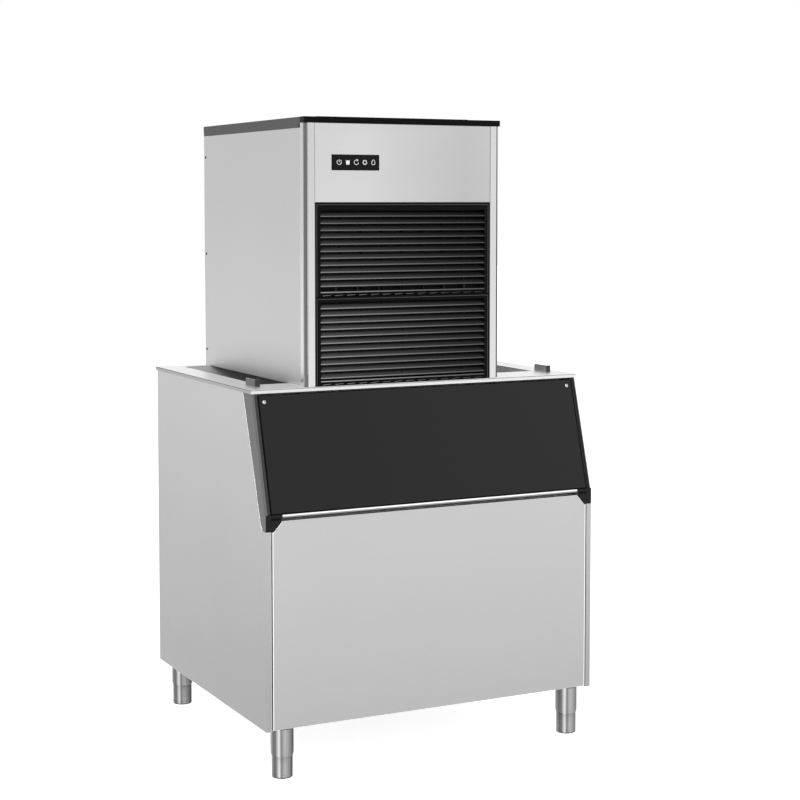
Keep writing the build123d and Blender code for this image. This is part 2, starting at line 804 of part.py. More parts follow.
def head_side_panel(outer, inward):
    """One side of the head, whose folds point inward."""
    fold_x = outer + inward * head_fold
    wall_x = outer + inward * head_sheet
    with BuildPart() as panel:
        block((min(outer, wall_x), panel_front_y, head_z),
              (max(outer, wall_x), rear_y, skirt_low_z - head_gap))
        block((min(outer, fold_x), panel_front_y, head_z),
              (max(outer, fold_x), panel_front_y + head_sheet, skirt_low_z - head_gap))
        block((min(outer, fold_x), rear_y - head_sheet, head_z),
              (max(outer, fold_x), rear_y, skirt_low_z - head_gap))
        upright = panel.edges().filter_by(Axis.Z)
        corners = upright.filter_by(lambda edge: abs(edge.center().X - outer) < 0.01)
        fillet(corners, radius=head_sheet * fold_share)
    return panel


head_left_panel = head_side_panel(head_x, 1)
head_left_panel.part.label = "head_left_panel"
export_step(head_left_panel.part, "parts/head_left_panel.step")

head_right_panel = head_side_panel(head_right_x, -1)
head_right_panel.part.label = "head_right_panel"
export_step(head_right_panel.part, "parts/head_right_panel.step")

# Head back panel, with rows of slots for the warm air and holes for the water inlet and the power gland
inlet_z = head_z + reservoir_level + reservoir_height + valve_body / 2
inlet_x = head_x + reservoir_left + reservoir_width / 2
gland_x = head_right_x - gland_inset
gland_z = head_z + gland_height
back_x0 = head_x + head_fold + head_gap
back_x1 = head_right_x - head_fold - head_gap
with BuildPart() as head_back_panel:
    block((back_x0, rear_y - head_sheet, head_z), (back_x1, rear_y, head_top_z - head_gap))
    for row in range(exhaust_rows):
        slot_z = head_z + exhaust_low + row * exhaust_pitch
        for place in exhaust_places:
            with Locations((head_offset + place, rear_y - head_sheet / 2, slot_z)):
                Box(exhaust_width, 4 * head_sheet, exhaust_height, mode=Mode.SUBTRACT)
    for hole_x, hole_z, hole_radius in ((inlet_x, inlet_z, inlet_radius),
                                        (gland_x, gland_z, gland_neck_radius)):
        with Locations(Location((hole_x, rear_y, hole_z), (90, 0, 0))):
            Cylinder(hole_radius + head_gap, 4 * head_sheet, mode=Mode.SUBTRACT)
head_back_panel.part.label = "head_back_panel"
export_step(head_back_panel.part, "parts/head_back_panel.step")


# Corner posts: polished angle with a large outer radius
def corner_post(outer, inward):
    """The upright at one front corner of the head."""
    with BuildPart() as post:
        with BuildSketch(Plane.XY.offset(head_z)):
            with BuildLine():
                Polyline((outer, head_y + post_side), (outer, head_y + post_radius))
                RadiusArc((outer, head_y + post_radius), (outer + inward * post_radius, head_y),
                          post_radius * (1 if inward > 0 else -1), short_sagitta=True)
                Polyline((outer + inward * post_radius, head_y), (outer + inward * post_front, head_y),
                         (outer + inward * post_front, head_y + post_sheet),
                         (outer + inward * post_radius, head_y + post_sheet))
                RadiusArc((outer + inward * post_radius, head_y + post_sheet),
                          (outer + inward * post_sheet, head_y + post_radius),
                          (post_radius - post_sheet) * (-1 if inward > 0 else 1), short_sagitta=True)
                Polyline((outer + inward * post_sheet, head_y + post_radius),
                         (outer + inward * post_sheet, head_y + post_side), (outer, head_y + post_side))
            make_face()
        extrude(amount=head_height - head_gap)
    return post


left_corner_post = corner_post(head_x, 1)
left_corner_post.part.label = "left_corner_post"
export_step(left_corner_post.part, "parts/left_corner_post.step")

right_corner_post = corner_post(head_right_x, -1)
right_corner_post.part.label = "right_corner_post"
export_step(right_corner_post.part, "parts/right_corner_post.step")

# Upper front panel: a steel pan with a window for the control panel
face_x0 = head_x + post_front + seam_gap
face_x1 = head_right_x - post_front - seam_gap
face_low_z = head_z + grille_height + seam_gap
face_top_z = head_top_z - head_gap
control_x0 = head_x + control_left
control_z1 = head_top_z - control_drop
with BuildPart() as head_front_panel:
    block((face_x0, head_y, face_low_z), (face_x1, head_y + head_fold, face_top_z))
    fillet(head_front_panel.edges().group_by(Axis.Y)[0], radius=head_sheet * fold_share)
    block((face_x0 + head_sheet, head_y + head_sheet, face_low_z + head_sheet),
          (face_x1 - head_sheet, head_y + head_fold, face_top_z - head_sheet), mode=Mode.SUBTRACT)
    block((control_x0 - head_gap, head_y, control_z1 - control_height - head_gap),
          (control_x0 + control_width + head_gap, head_y + head_fold, control_z1 + head_gap),
          mode=Mode.SUBTRACT)
head_front_panel.part.label = "head_front_panel"
export_step(head_front_panel.part, "parts/head_front_panel.step")

# Control panel: a flat touch plate, with a lip behind the window's edge
control_proud = 0.6
with BuildPart() as control_panel:
    block((control_x0, head_y - control_proud, control_z1 - control_height),
          (control_x0 + control_width, head_y + control_thickness, control_z1))
    fillet(control_panel.edges().group_by(Axis.Y)[0], radius=control_proud / 2)
    lip = 2 * control_thickness
    block((control_x0 - lip, head_y + head_sheet + head_gap, control_z1 - control_height - lip),
          (control_x0 + control_width + lip, head_y + control_thickness, control_z1 + lip))
control_panel.part.label = "control_panel"
export_step(control_panel.part, "parts/control_panel.step")

# Control board on four stand-offs behind the control panel
board_y = head_y + control_thickness + board_gap
with BuildPart() as control_board:
    block((control_x0 + board_margin, board_y, control_z1 - control_height + board_margin),
          (control_x0 + control_width - board_margin, board_y + board_thickness, control_z1 - board_margin))
    for post_x in (control_x0 + board_post_inset, control_x0 + control_width - board_post_inset):
        for post_z in (control_z1 - control_height + board_post_inset, control_z1 - board_post_inset):
            with Locations(Location((post_x, board_y - board_gap / 2 + head_gap / 2, post_z), (90, 0, 0))):
                Cylinder(board_post_radius, board_gap - head_gap)
    block((control_x0 + chip_left, board_y, control_z1 - chip_drop - chip_height),
          (control_x0 + chip_left + chip_width, board_y + board_gap, control_z1 - chip_drop))
control_board.part.label = "control_board"
export_step(control_board.part, "parts/control_board.step")

# Louvred grilles: a moulded frame, slanted slats with a drip lip, ribs behind them and a vented foot
grille_y = head_y + grille_recess
grille_x0 = face_x0
grille_x1 = face_x1
slat_x0 = grille_x0 + grille_stile
slat_x1 = grille_x1 - grille_stile


def louvred_grille(low_z, high_z, first_lip):
    """A grille between two heights, whose first lip lies a distance below its top."""
    ledge_z = low_z + ledge_drop
    slat_count = 1 + int((high_z - first_lip - slat_lip - ledge_z) / slat_pitch)
    with BuildPart() as grille:
        block((grille_x0, grille_y, low_z), (grille_x1, grille_y + grille_depth, high_z))
        window_top = high_z - first_lip + slat_rise
        block((slat_x0, grille_y, ledge_z), (slat_x1, grille_y + grille_depth, window_top),
              mode=Mode.SUBTRACT)
        block((slat_x0 - ledge_drop, grille_y - grille_recess, ledge_z),
              (slat_x1 + ledge_drop, grille_y + 2 * ledge_height, ledge_z + ledge_height))
        for index in range(slat_count):
            lip_z = high_z - first_lip - index * slat_pitch
            prism(Plane.YZ.offset(slat_x0 - seam_gap), [
                (grille_y, lip_z),
                (grille_y, lip_z - slat_lip),
                (grille_y + slat_thickness, lip_z - slat_lip),
                (grille_y + slat_back, lip_z + slat_rise - slat_thickness - slat_lip),
                (grille_y + slat_back, lip_z + slat_rise - slat_lip),
            ], slat_x1 - slat_x0 + 2 * seam_gap)
        rib_pitch = (slat_x1 - slat_x0) / (rib_count + 1)
        for index in range(rib_count):
            rib_x = slat_x0 + (index + 1) * rib_pitch
            block((rib_x - rib_thickness / 2, grille_y + slat_back - 2 * rib_thickness, ledge_z - seam_gap),
                  (rib_x + rib_thickness / 2, grille_y + grille_depth, window_top + seam_gap))
        slot_pitch = (slat_x1 - slat_x0) / vent_slot_count
        for index in range(vent_slot_count):
            slot_x = slat_x0 + (index + 0.5) * slot_pitch
            slot_z = low_z + ledge_drop / 2
            block((slot_x - vent_slot_width / 2, grille_y, slot_z - vent_slot_height / 2),
                  (slot_x + vent_slot_width / 2, grille_y + 2 * vent_slot_height,
                   slot_z + vent_slot_height / 2), mode=Mode.SUBTRACT)
    return grille


split_z = head_z + grille_height - grille_split
upper_grille = louvred_grille(split_z + seam_gap / 2, head_z + grille_height, slat_top_margin)
upper_grille.part.label = "upper_grille"
export_step(upper_grille.part, "parts/upper_grille.step")

lower_grille = louvred_grille(head_z, split_z - seam_gap / 2, lower_slat_top_margin)
lower_grille.part.label = "lower_grille"
export_step(lower_grille.part, "parts/lower_grille.step")

# Lid: a folded tray with a raised field, deeper at the sides and back than over the front panel
with BuildPart() as head_lid:
    lid_x0 = head_x - lid_overhang
    lid_x1 = head_right_x + lid_overhang
    lid_y0 = head_y - lid_overhang
    lid_y1 = rear_y + lid_overhang
    block((lid_x0, lid_y0, head_top_z), (lid_x1, lid_y1, lid_top_z))
    block((lid_x0, panel_front_y, skirt_low_z), (lid_x1, lid_y1, head_top_z))
    block((lid_x0 + lid_sheet, lid_y0 + lid_sheet, head_top_z),
          (lid_x1 - lid_sheet, lid_y1 - lid_sheet, lid_top_z - lid_sheet), mode=Mode.SUBTRACT)
    block((lid_x0 + lid_sheet, panel_front_y, skirt_low_z),
          (lid_x1 - lid_sheet, lid_y1 - lid_sheet, head_top_z), mode=Mode.SUBTRACT)
    block((lid_x0, rear_y - head_sheet - head_gap, skirt_low_z), (lid_x1, lid_y1, head_top_z),
          mode=Mode.SUBTRACT)
    fillet(head_lid.edges().group_by(Axis.Z)[-1].filter_by(
        lambda edge: abs(edge.center().X - head_offset) > head_width * 0.45
        or abs(edge.center().Y - (lid_y0 + lid_y1) / 2) > bin_depth * 0.4), radius=lid_sheet * fold_share)
    with BuildSketch(Plane.XY.offset(lid_top_z)):
        with Locations((head_offset, (lid_y0 + plateau_inset + lid_y1 - plateau_rear_inset) / 2)):
            Rectangle(head_width - 2 * plateau_inset, lid_y1 - lid_y0 - plateau_inset - plateau_rear_inset)
    extrude(amount=plateau_height, taper=30)
head_lid.part.label = "head_lid"
export_step(head_lid.part, "parts/head_lid.step")

# Side panel screws: three domed heads near the rear edge of each side
with BuildPart() as side_screws:
    for screw_x, inward in ((head_x, 1), (head_right_x, -1)):
        for level in screw_levels:
            with Locations(Location((screw_x - inward * screw_head / 2, rear_y - screw_inset,
                                     head_z + level), (0, 90, 0))):
                Cylinder(screw_radius, screw_head)
side_screws.part.label = "side_screws"
export_step(side_screws.part, "parts/side_screws.step")

# Air filter: a framed mesh that sits against the back of the grilles
filter_y = grille_y + grille_depth + head_gap
with BuildPart() as air_filter:
    filter_x0 = slat_x0 - ledge_drop
    filter_x1 = slat_x1 + ledge_drop
    filter_z1 = head_z + grille_height - slat_top_margin / 2
    block((filter_x0, filter_y, head_z + head_gap), (filter_x1, filter_y + filter_thickness, filter_z1))
    cell_x = (filter_x1 - filter_x0) / filter_mesh_count
    cell_z = (filter_z1 - head_z - head_gap) / filter_mesh_count
    with BuildSketch(Plane.XZ.offset(-filter_y)):
        with Locations(((filter_x0 + filter_x1) / 2, (head_z + head_gap + filter_z1) / 2)):
            with GridLocations(cell_x, cell_z, filter_mesh_count, filter_mesh_count):
                Rectangle(cell_x - filter_thickness, cell_z - filter_thickness)
    extrude(amount=-filter_thickness, mode=Mode.SUBTRACT)
air_filter.part.label = "air_filter"
export_step(air_filter.part, "parts/air_filter.step")

# Condenser: a finned coil block between two end plates
condenser_y = base_front_y + base_sheet + condenser_gap
condenser_back_y = condenser_y + condenser_thickness
condenser_z1 = inner_head_z + condenser_height
condenser_x0 = head_offset - condenser_width / 2
condenser_x1 = head_offset + condenser_width / 2
with BuildPart() as condenser:
    block((condenser_x0, condenser_y, inner_head_z), (condenser_x1, condenser_back_y, condenser_z1))
    fin_pitch = condenser_width / (condenser_fin_count + 1)
    for index in range(condenser_fin_count):
        fin_x = condenser_x0 + (index + 1) * fin_pitch
        block((fin_x - condenser_fin_gap / 2, condenser_y, inner_head_z + condenser_fin_gap),
              (fin_x + condenser_fin_gap / 2, condenser_y + condenser_thickness / 2,
               condenser_z1 - condenser_fin_gap), mode=Mode.SUBTRACT)
condenser.part.label = "condenser"
export_step(condenser.part, "parts/condenser.step")

# Fan shroud: a box behind the condenser with the fan's round opening and the motor's struts
fan_x = head_offset
fan_z = inner_head_z + condenser_height / 2
shroud_y1 = condenser_back_y + shroud_depth
fan_hole_radius = fan_radius + fan_tip_gap
with BuildPart() as fan_shroud:
    block((condenser_x0, condenser_back_y, inner_head_z), (condenser_x1, shroud_y1, condenser_z1))
    block((condenser_x0 + shroud_wall, condenser_back_y, inner_head_z + shroud_wall),
          (condenser_x1 - shroud_wall, shroud_y1 - shroud_wall, condenser_z1 - shroud_wall),
          mode=Mode.SUBTRACT)
    with Locations(Location((fan_x, shroud_y1, fan_z), (90, 0, 0))):
        Cylinder(fan_hole_radius, 4 * shroud_wall, mode=Mode.SUBTRACT)
    motor_ring = motor_radius + head_gap
    for index in range(strut_count):
        angle = 90 + index * 360 / strut_count
        reach = (motor_ring + fan_hole_radius + strut_width) / 2
        with Locations(Location((fan_x + reach * cos(radians(angle)), shroud_y1 + strut_width / 2,
                                 fan_z + reach * sin(radians(angle))), (0, -angle, 0))):
            Box(fan_hole_radius - motor_ring + strut_width, strut_width, shroud_wall)
    with Locations(Location((fan_x, shroud_y1 + strut_width / 2, fan_z), (90, 0, 0))):
        Cylinder(motor_ring + strut_width / 2, strut_width)
        Cylinder(motor_ring, strut_width, mode=Mode.SUBTRACT)
fan_shroud.part.label = "fan_shroud"
export_step(fan_shroud.part, "parts/fan_shroud.step")

# Fan motor, clamped in the shroud's ring, with a bore for the fan's shaft
motor_y = shroud_y1
with BuildPart() as fan_motor:
    with Locations(Location((fan_x, motor_y + motor_length / 2, fan_z), (90, 0, 0))):
        Cylinder(motor_radius, motor_length)
    chamfer(fan_motor.edges().filter_by(GeomType.CIRCLE).group_by(Axis.Y)[-1], length=motor_gap)
    with Locations(Location((fan_x, motor_y + motor_length / 4, fan_z), (90, 0, 0))):
        Cylinder(fan_shaft_radius + running_clearance / 2, motor_length / 2, mode=Mode.SUBTRACT)
fan_motor.part.label = "fan_motor"
export_step(fan_motor.part, "parts/fan_motor.step")

# Fan: twisted blades on a hub, with the shaft that runs in the motor
with BuildPart() as fan_blade_form:
    for height, chord, angle in ((fan_hub_radius - fan_blade_thickness, fan_root_chord, fan_root_angle),
                                 (fan_radius, fan_tip_chord, fan_tip_angle)):
        with BuildSketch(Plane.YZ.offset(height)):
            Rectangle(chord, fan_blade_thickness, rotation=angle)
    loft()
with BuildPart() as fan_form:
    Cylinder(fan_hub_radius, fan_hub_length)
    with PolarLocations(0, fan_blade_count):
        add(fan_blade_form.part)
    Cylinder(fan_radius, fan_hub_length * 2, mode=Mode.INTERSECT)
    fan_shaft_length = (fan_hub_length + motor_length) / 2
    with Locations((0, 0, -fan_shaft_length / 2)):
        Cylinder(fan_shaft_radius, fan_shaft_length)
fan_y = motor_y - motor_gap - fan_hub_length / 2
fan_blade = fan_form.part.moved(Location((fan_x, fan_y, fan_z), (90, 0, 0)))
fan_blade.label = "fan_blade"
export_step(fan_blade, "parts/fan_blade.step")

# Compressor: a domed steel can on a plate, which stands on four soft feet
compressor_x = head_x + compressor_left
compressor_y = rear_y - compressor_back
with BuildPart() as compressor:
    compressor_z = inner_head_z + compressor_foot_height
    compressor_top_z = compressor_z + compressor_plate + compressor_height
    plate_reach = compressor_radius * 0.75
    can_low_z = compressor_z + compressor_plate
    dome_x = compressor_x + compressor_radius - compressor_dome
    step_x = compressor_x + compressor_radius - compressor_dome_step
    wall_x = compressor_x + compressor_radius
    with BuildSketch(Plane.XZ.offset(-compressor_y)):
        with BuildLine():
            Polyline((compressor_x, can_low_z), (dome_x, can_low_z),
                     (step_x, can_low_z + compressor_dome_step), (wall_x, can_low_z + compressor_dome),
                     (wall_x, compressor_top_z - compressor_dome),
                     (step_x, compressor_top_z - compressor_dome_step), (dome_x, compressor_top_z),
                     (compressor_x, compressor_top_z), close=True)
        make_face()
    revolve(axis=Axis((compressor_x, compressor_y, 0), (0, 0, 1)))
    with Locations((compressor_x, compressor_y, compressor_z + compressor_plate / 2 + head_gap)):
        Box(2 * (plate_reach + compressor_foot_radius), 2 * (plate_reach + compressor_foot_radius),
            compressor_plate + 2 * head_gap)
    with Locations((compressor_x, compressor_y, inner_head_z + compressor_foot_height / 2)):
        with GridLocations(2 * plate_reach, 2 * plate_reach, 2, 2):
            Cylinder(compressor_foot_radius, compressor_foot_height)
compressor.part.label = "compressor"
export_step(compressor.part, "parts/compressor.step")

# Gear motor: a gearbox under the evaporator with its motor standing on the other end
gearbox_z1 = inner_head_z + gearbox_height
drive_y = evaporator_y + drive_motor_shift
with BuildPart() as gear_motor:
    block((evaporator_x - gearbox_width / 2, evaporator_y - gearbox_width / 2, inner_head_z),
          (evaporator_x + gearbox_width / 2, evaporator_y - gearbox_width / 2 + gearbox_length, gearbox_z1))
    fillet(gear_motor.edges().filter_by(Axis.Z), radius=gearbox_width * 0.2)
    with Locations((evaporator_x, drive_y, gearbox_z1 + drive_motor_length / 2)):
        Cylinder(drive_motor_radius, drive_motor_length)
    chamfer(gear_motor.edges().group_by(Axis.Z)[-1], length=drive_motor_radius * 0.2)
    with Locations((evaporator_x, evaporator_y, gearbox_z1 - auger_foot / 2)):
        Cylinder(auger_shaft_radius + running_clearance / 2, auger_foot + running_clearance,
                 mode=Mode.SUBTRACT)
gear_motor.part.label = "gear_motor"
export_step(gear_motor.part, "parts/gear_motor.step")

# Evaporator barrel: a flanged steel tube in which the ice forms
barrel_radius = barrel_bore + barrel_wall
barrel_z1 = gearbox_z1 + barrel_height
with BuildPart() as evaporator_barrel:
    with Locations((evaporator_x, evaporator_y, gearbox_z1 + barrel_height / 2)):
        Cylinder(barrel_radius, barrel_height)
    with Locations((evaporator_x, evaporator_y, gearbox_z1 + barrel_flange / 2),
                   (evaporator_x, evaporator_y, barrel_z1 - barrel_flange / 2)):
        Cylinder(barrel_flange_radius, barrel_flange)
    with Locations((evaporator_x, evaporator_y, gearbox_z1 + barrel_height / 2)):
        Cylinder(barrel_bore, barrel_height, mode=Mode.SUBTRACT)
evaporator_barrel.part.label = "evaporator_barrel"
export_step(evaporator_barrel.part, "parts/evaporator_barrel.step")

# Foam jacket round the barrel, between its flanges
jacket_radius = barrel_radius + barrel_foam
with BuildPart() as evaporator_jacket:
    with Locations((evaporator_x, evaporator_y, gearbox_z1 + barrel_height / 2)):
        Cylinder(jacket_radius, barrel_height - 2 * barrel_flange - 2 * head_gap)
        Cylinder(barrel_radius + head_gap, barrel_height, mode=Mode.SUBTRACT)
evaporator_jacket.part.label = "evaporator_jacket"
export_step(evaporator_jacket.part, "parts/evaporator_jacket.step")

# Auger: a core with one helical flight, running in the gearbox below and the extruder above
auger_radius = barrel_bore - auger_clearance
flight_height = barrel_height - 2 * barrel_flange
with BuildPart() as auger_form:
    with Locations((0, 0, barrel_height / 2)):
        Cylinder(auger_core_radius, barrel_height - 2 * auger_clearance)
    with Locations((0, 0, (barrel_height + extruder_height - extruder_cap - auger_foot) / 2)):
        Cylinder(auger_shaft_radius, barrel_height + extruder_height - extruder_cap + auger_foot
                 - 2 * running_clearance)
    with BuildLine():
        flight_path = Helix(auger_pitch, flight_height, auger_core_radius, center=(0, 0, barrel_flange))
    with BuildSketch(Plane(origin=flight_path @ 0, x_dir=(1, 0, 0), z_dir=flight_path % 0)):
        with Locations(((auger_radius - auger_core_radius) / 2 - running_clearance, 0)):
            Rectangle(auger_radius - auger_core_radius + 2 * running_clearance, auger_flight_thickness)
    sweep(path=flight_path, is_frenet=True)
auger = auger_form.part.moved(Location((evaporator_x, evaporator_y, gearbox_z1)))
auger.label = "auger"
export_step(auger, "parts/auger.step")

# Extruder head: a thick ring of ports that presses the ice into nuggets, with a spout to the chute
extruder_z1 = barrel_z1 + extruder_height
chamber_z = barrel_z1 + extruder_height / 2
port_circle = (auger_shaft_radius + barrel_bore) / 2
spout_half = chute_width / 4
with BuildPart() as extruder_head:
    with Locations((evaporator_x, evaporator_y, (barrel_z1 + extruder_z1) / 2)):
        Cylinder(extruder_radius, extruder_height)
    block((evaporator_x, evaporator_y - spout_half - chute_wall, chamber_z),
          (drop_x0 - head_gap, evaporator_y + spout_half + chute_wall, extruder_z1))
    with Locations((evaporator_x, evaporator_y, (chamber_z + extruder_z1 - extruder_cap) / 2)):
        Cylinder(extruder_radius - chute_wall, extruder_z1 - extruder_cap - chamber_z, mode=Mode.SUBTRACT)
    block((evaporator_x, evaporator_y - spout_half, chamber_z + chute_wall),
          (drop_x0, evaporator_y + spout_half, extruder_z1 - extruder_cap), mode=Mode.SUBTRACT)
    with Locations((evaporator_x, evaporator_y, chamber_z)):
        with PolarLocations(port_circle, extruder_port_count):
            Cylinder(extruder_port_radius, extruder_height, mode=Mode.SUBTRACT)
    with Locations((evaporator_x, evaporator_y, (barrel_z1 + extruder_z1 - extruder_cap) / 2)):
        Cylinder(auger_shaft_radius + running_clearance / 2, extruder_height - extruder_cap,
                 mode=Mode.SUBTRACT)
extruder_head.part.label = "extruder_head"
export_step(extruder_head.part, "parts/extruder_head.step")

# Ice chute: an upright square duct from the extruder's spout down through the base
chute_y0 = evaporator_y - chute_width / 2
chute_y1 = evaporator_y + chute_width / 2
flap_pin_z = chamber_z - flap_top_drop
flap_pin_x = drop_x1 + 2 * flap_pin_radius
with BuildPart() as ice_chute:
    block((drop_x0, chute_y0, head_z), (drop_x1, chute_y1, extruder_z1))
    block((drop_x0 + chute_wall, chute_y0 + chute_wall, head_z),
          (drop_x1 - chute_wall, chute_y1 - chute_wall, extruder_z1 - chute_wall), mode=Mode.SUBTRACT)
    block((drop_x0, evaporator_y - spout_half, chamber_z + chute_wall),
          (drop_x0 + chute_wall, evaporator_y + spout_half, extruder_z1 - extruder_cap), mode=Mode.SUBTRACT)
    block((drop_x1 - chute_wall, chute_y0 + 3 * chute_wall, flap_pin_z - flap_height),
          (drop_x1, chute_y1 - 3 * chute_wall, flap_pin_z - 2 * flap_pin_radius), mode=Mode.SUBTRACT)
    for ear_y in (chute_y0 + chute_wall, chute_y1 - chute_wall):
        block((drop_x1 - head_gap, ear_y - chute_wall / 2, flap_pin_z - 2 * flap_pin_radius),
              (flap_pin_x + 2 * flap_pin_radius, ear_y + chute_wall / 2, flap_pin_z + 2 * flap_pin_radius))
    with Locations(Location((flap_pin_x, evaporator_y, flap_pin_z), (90, 0, 0))):
        Cylinder(flap_pin_radius + running_clearance / 2, chute_width, mode=Mode.SUBTRACT)
ice_chute.part.label = "ice_chute"
export_step(ice_chute.part, "parts/ice_chute.step")

# Level flap: hangs from a pin across the chute's window and swings out when ice backs up
with BuildPart() as level_flap:
    flap_y0 = chute_y0 + 2 * chute_wall
    flap_y1 = chute_y1 - 2 * chute_wall
    block((flap_pin_x - flap_thickness, flap_y0, flap_pin_z - flap_height - chute_wall),
          (flap_pin_x, flap_y1, flap_pin_z))
    with Locations(Location((flap_pin_x, evaporator_y, flap_pin_z), (90, 0, 0))):
        Cylinder(flap_pin_radius, chute_width)
level_flap.part.label = "level_flap"
export_step(level_flap.part, "parts/level_flap.step")

# Water reservoir: an open tray that hangs on the back panel
reservoir_x0 = head_x + reservoir_left
reservoir_x1 = reservoir_x0 + reservoir_width
reservoir_y1 = rear_y - head_sheet - head_gap
reservoir_y0 = reservoir_y1 - reservoir_depth
reservoir_z0 = head_z + reservoir_level
reservoir_z1 = reservoir_z0 + reservoir_height
spigot_y = (reservoir_y0 + reservoir_y1) / 2
spigot_length = 3 * pipe_radius
with BuildPart() as water_reservoir:
    block((reservoir_x0, reservoir_y0, reservoir_z0), (reservoir_x1, reservoir_y1, reservoir_z1))
    fillet(water_reservoir.edges().filter_by(Axis.Z), radius=3 * reservoir_wall)
    block((reservoir_x0 + reservoir_wall, reservoir_y0 + reservoir_wall, reservoir_z0 + reservoir_wall),
          (reservoir_x1 - reservoir_wall, reservoir_y1 - reservoir_wall, reservoir_z1), mode=Mode.SUBTRACT)
    with Locations((evaporator_x, spigot_y, reservoir_z0 - spigot_length / 2)):
        Cylinder(suction_pipe_radius, spigot_length)
    with Locations((evaporator_x, spigot_y, reservoir_z0)):
        Cylinder(pipe_radius - reservoir_wall, 3 * spigot_length, mode=Mode.SUBTRACT)
water_reservoir.part.label = "water_reservoir"
export_step(water_reservoir.part, "parts/water_reservoir.step")

# Float valve: its body clamps on the back panel, with the threaded water inlet outside
valve_y1 = rear_y - head_sheet - head_gap
valve_y0 = valve_y1 - valve_body
float_pin_y = valve_y0 - 3 * float_pin_radius
with BuildPart() as float_valve:
    block((inlet_x - valve_body / 2, valve_y0, inlet_z - valve_body / 2 + head_gap),
          (inlet_x + valve_body / 2, valve_y1, inlet_z + valve_body / 2))
    thread_y = rear_y + inlet_neck
    with Locations(Location((inlet_x, (valve_y1 + thread_y) / 2, inlet_z), (90, 0, 0))):
        Cylinder(inlet_neck_radius, thread_y - valve_y1)
    with Locations(Location((inlet_x, (thread_y + rear_y + rear_reach) / 2, inlet_z), (90, 0, 0))):
        Cylinder(inlet_radius, rear_y + rear_reach - thread_y)
    with Locations(Location((inlet_x, rear_y + rear_reach - valve_body / 2, inlet_z), (90, 0, 0))):
        Cylinder(inlet_bore, valve_body, mode=Mode.SUBTRACT)
    for ear in (-1, 1):
        ear_x = inlet_x + ear * (float_arm_section + float_pin_radius)
        block((ear_x - float_pin_radius, float_pin_y - 2 * float_pin_radius,
               inlet_z - 2 * float_pin_radius),
              (ear_x + float_pin_radius, valve_y0, inlet_z + 2 * float_pin_radius))
    with Locations(Location((inlet_x, float_pin_y, inlet_z), (0, 90, 0))):
        Cylinder(float_pin_radius + running_clearance / 2, valve_body, mode=Mode.SUBTRACT)
float_valve.part.label = "float_valve"
export_step(float_valve.part, "parts/float_valve.step")

# Float arm: a bar on the valve's pin with the float at its end, hanging at its lower stop as when dry
float_y = float_pin_y - float_arm_length
float_z = inlet_z - float_drop
with BuildPart() as float_arm:
    half = float_arm_section / 2
    block((inlet_x - half, float_y - half, inlet_z - half),
          (inlet_x + half, float_pin_y + half, inlet_z + half))
    block((inlet_x - half, float_y - half, float_z), (inlet_x + half, float_y + half, inlet_z + half))
    with Locations(Location((inlet_x, float_pin_y, inlet_z), (0, 90, 0))):
        Cylinder(float_pin_radius, 2 * (float_arm_section + 2 * float_pin_radius))
    with Locations((inlet_x, float_y, float_z - float_height / 2)):
        Cylinder(float_radius, float_height)
float_arm_part = float_arm.part.rotate(Axis((inlet_x, float_pin_y, inlet_z), (1, 0, 0)), float_rest_angle)
float_arm_part.label = "float_arm"
export_step(float_arm_part, "parts/float_arm.step")

# Electrical box on the right side panel, behind the upper front panel
ebox_x1 = head_right_x - head_sheet - head_gap
ebox_x0 = ebox_x1 - ebox_width
ebox_y0 = panel_front_y + head_sheet + head_gap
ebox_z1 = skirt_low_z - ebox_drop
with BuildPart() as electrical_box:
    block((ebox_x0, ebox_y0, ebox_z1 - ebox_height), (ebox_x1, ebox_y0 + ebox_depth, ebox_z1))
    block((ebox_x0 + ebox_wall, ebox_y0 + ebox_wall, ebox_z1 - ebox_height + ebox_wall),
          (ebox_x1 - ebox_wall, ebox_y0 + ebox_depth - ebox_wall, ebox_z1 - ebox_wall), mode=Mode.SUBTRACT)
electrical_box.part.label = "electrical_box"
export_step(electrical_box.part, "parts/electrical_box.step")

# Power inlet gland in the back panel
with BuildPart() as power_inlet_gland:
    with BuildSketch(Plane.XY):
        with BuildLine():
            Polyline((gland_bore, -gland_reach), (gland_neck_radius, -gland_reach),
                     (gland_neck_radius, head_gap), (gland_radius, head_gap),
                     (gland_radius, gland_shoulder), (gland_tip_radius, gland_reach),
                     (gland_bore, gland_reach), close=True)
        make_face()
    revolve(axis=Axis.Y)
power_gland_part = power_inlet_gland.part.moved(Location((gland_x, rear_y, gland_z)))
power_gland_part.label = "power_inlet_gland"
export_step(power_gland_part, "parts/power_inlet_gland.step")


# Pipes: round tube along straight runs joined by bends
def pipe_run(points, radius, bend):
    """A tube of a radius through the points, with every corner bent to one radius."""
    with BuildPart() as run:
        with BuildLine() as route:
            FilletPolyline(*points, radius=bend)
        with BuildSketch(Plane(origin=route.wires()[0] @ 0, z_dir=route.wires()[0] % 0)):
            Circle(radius)
        sweep()
    return run.part


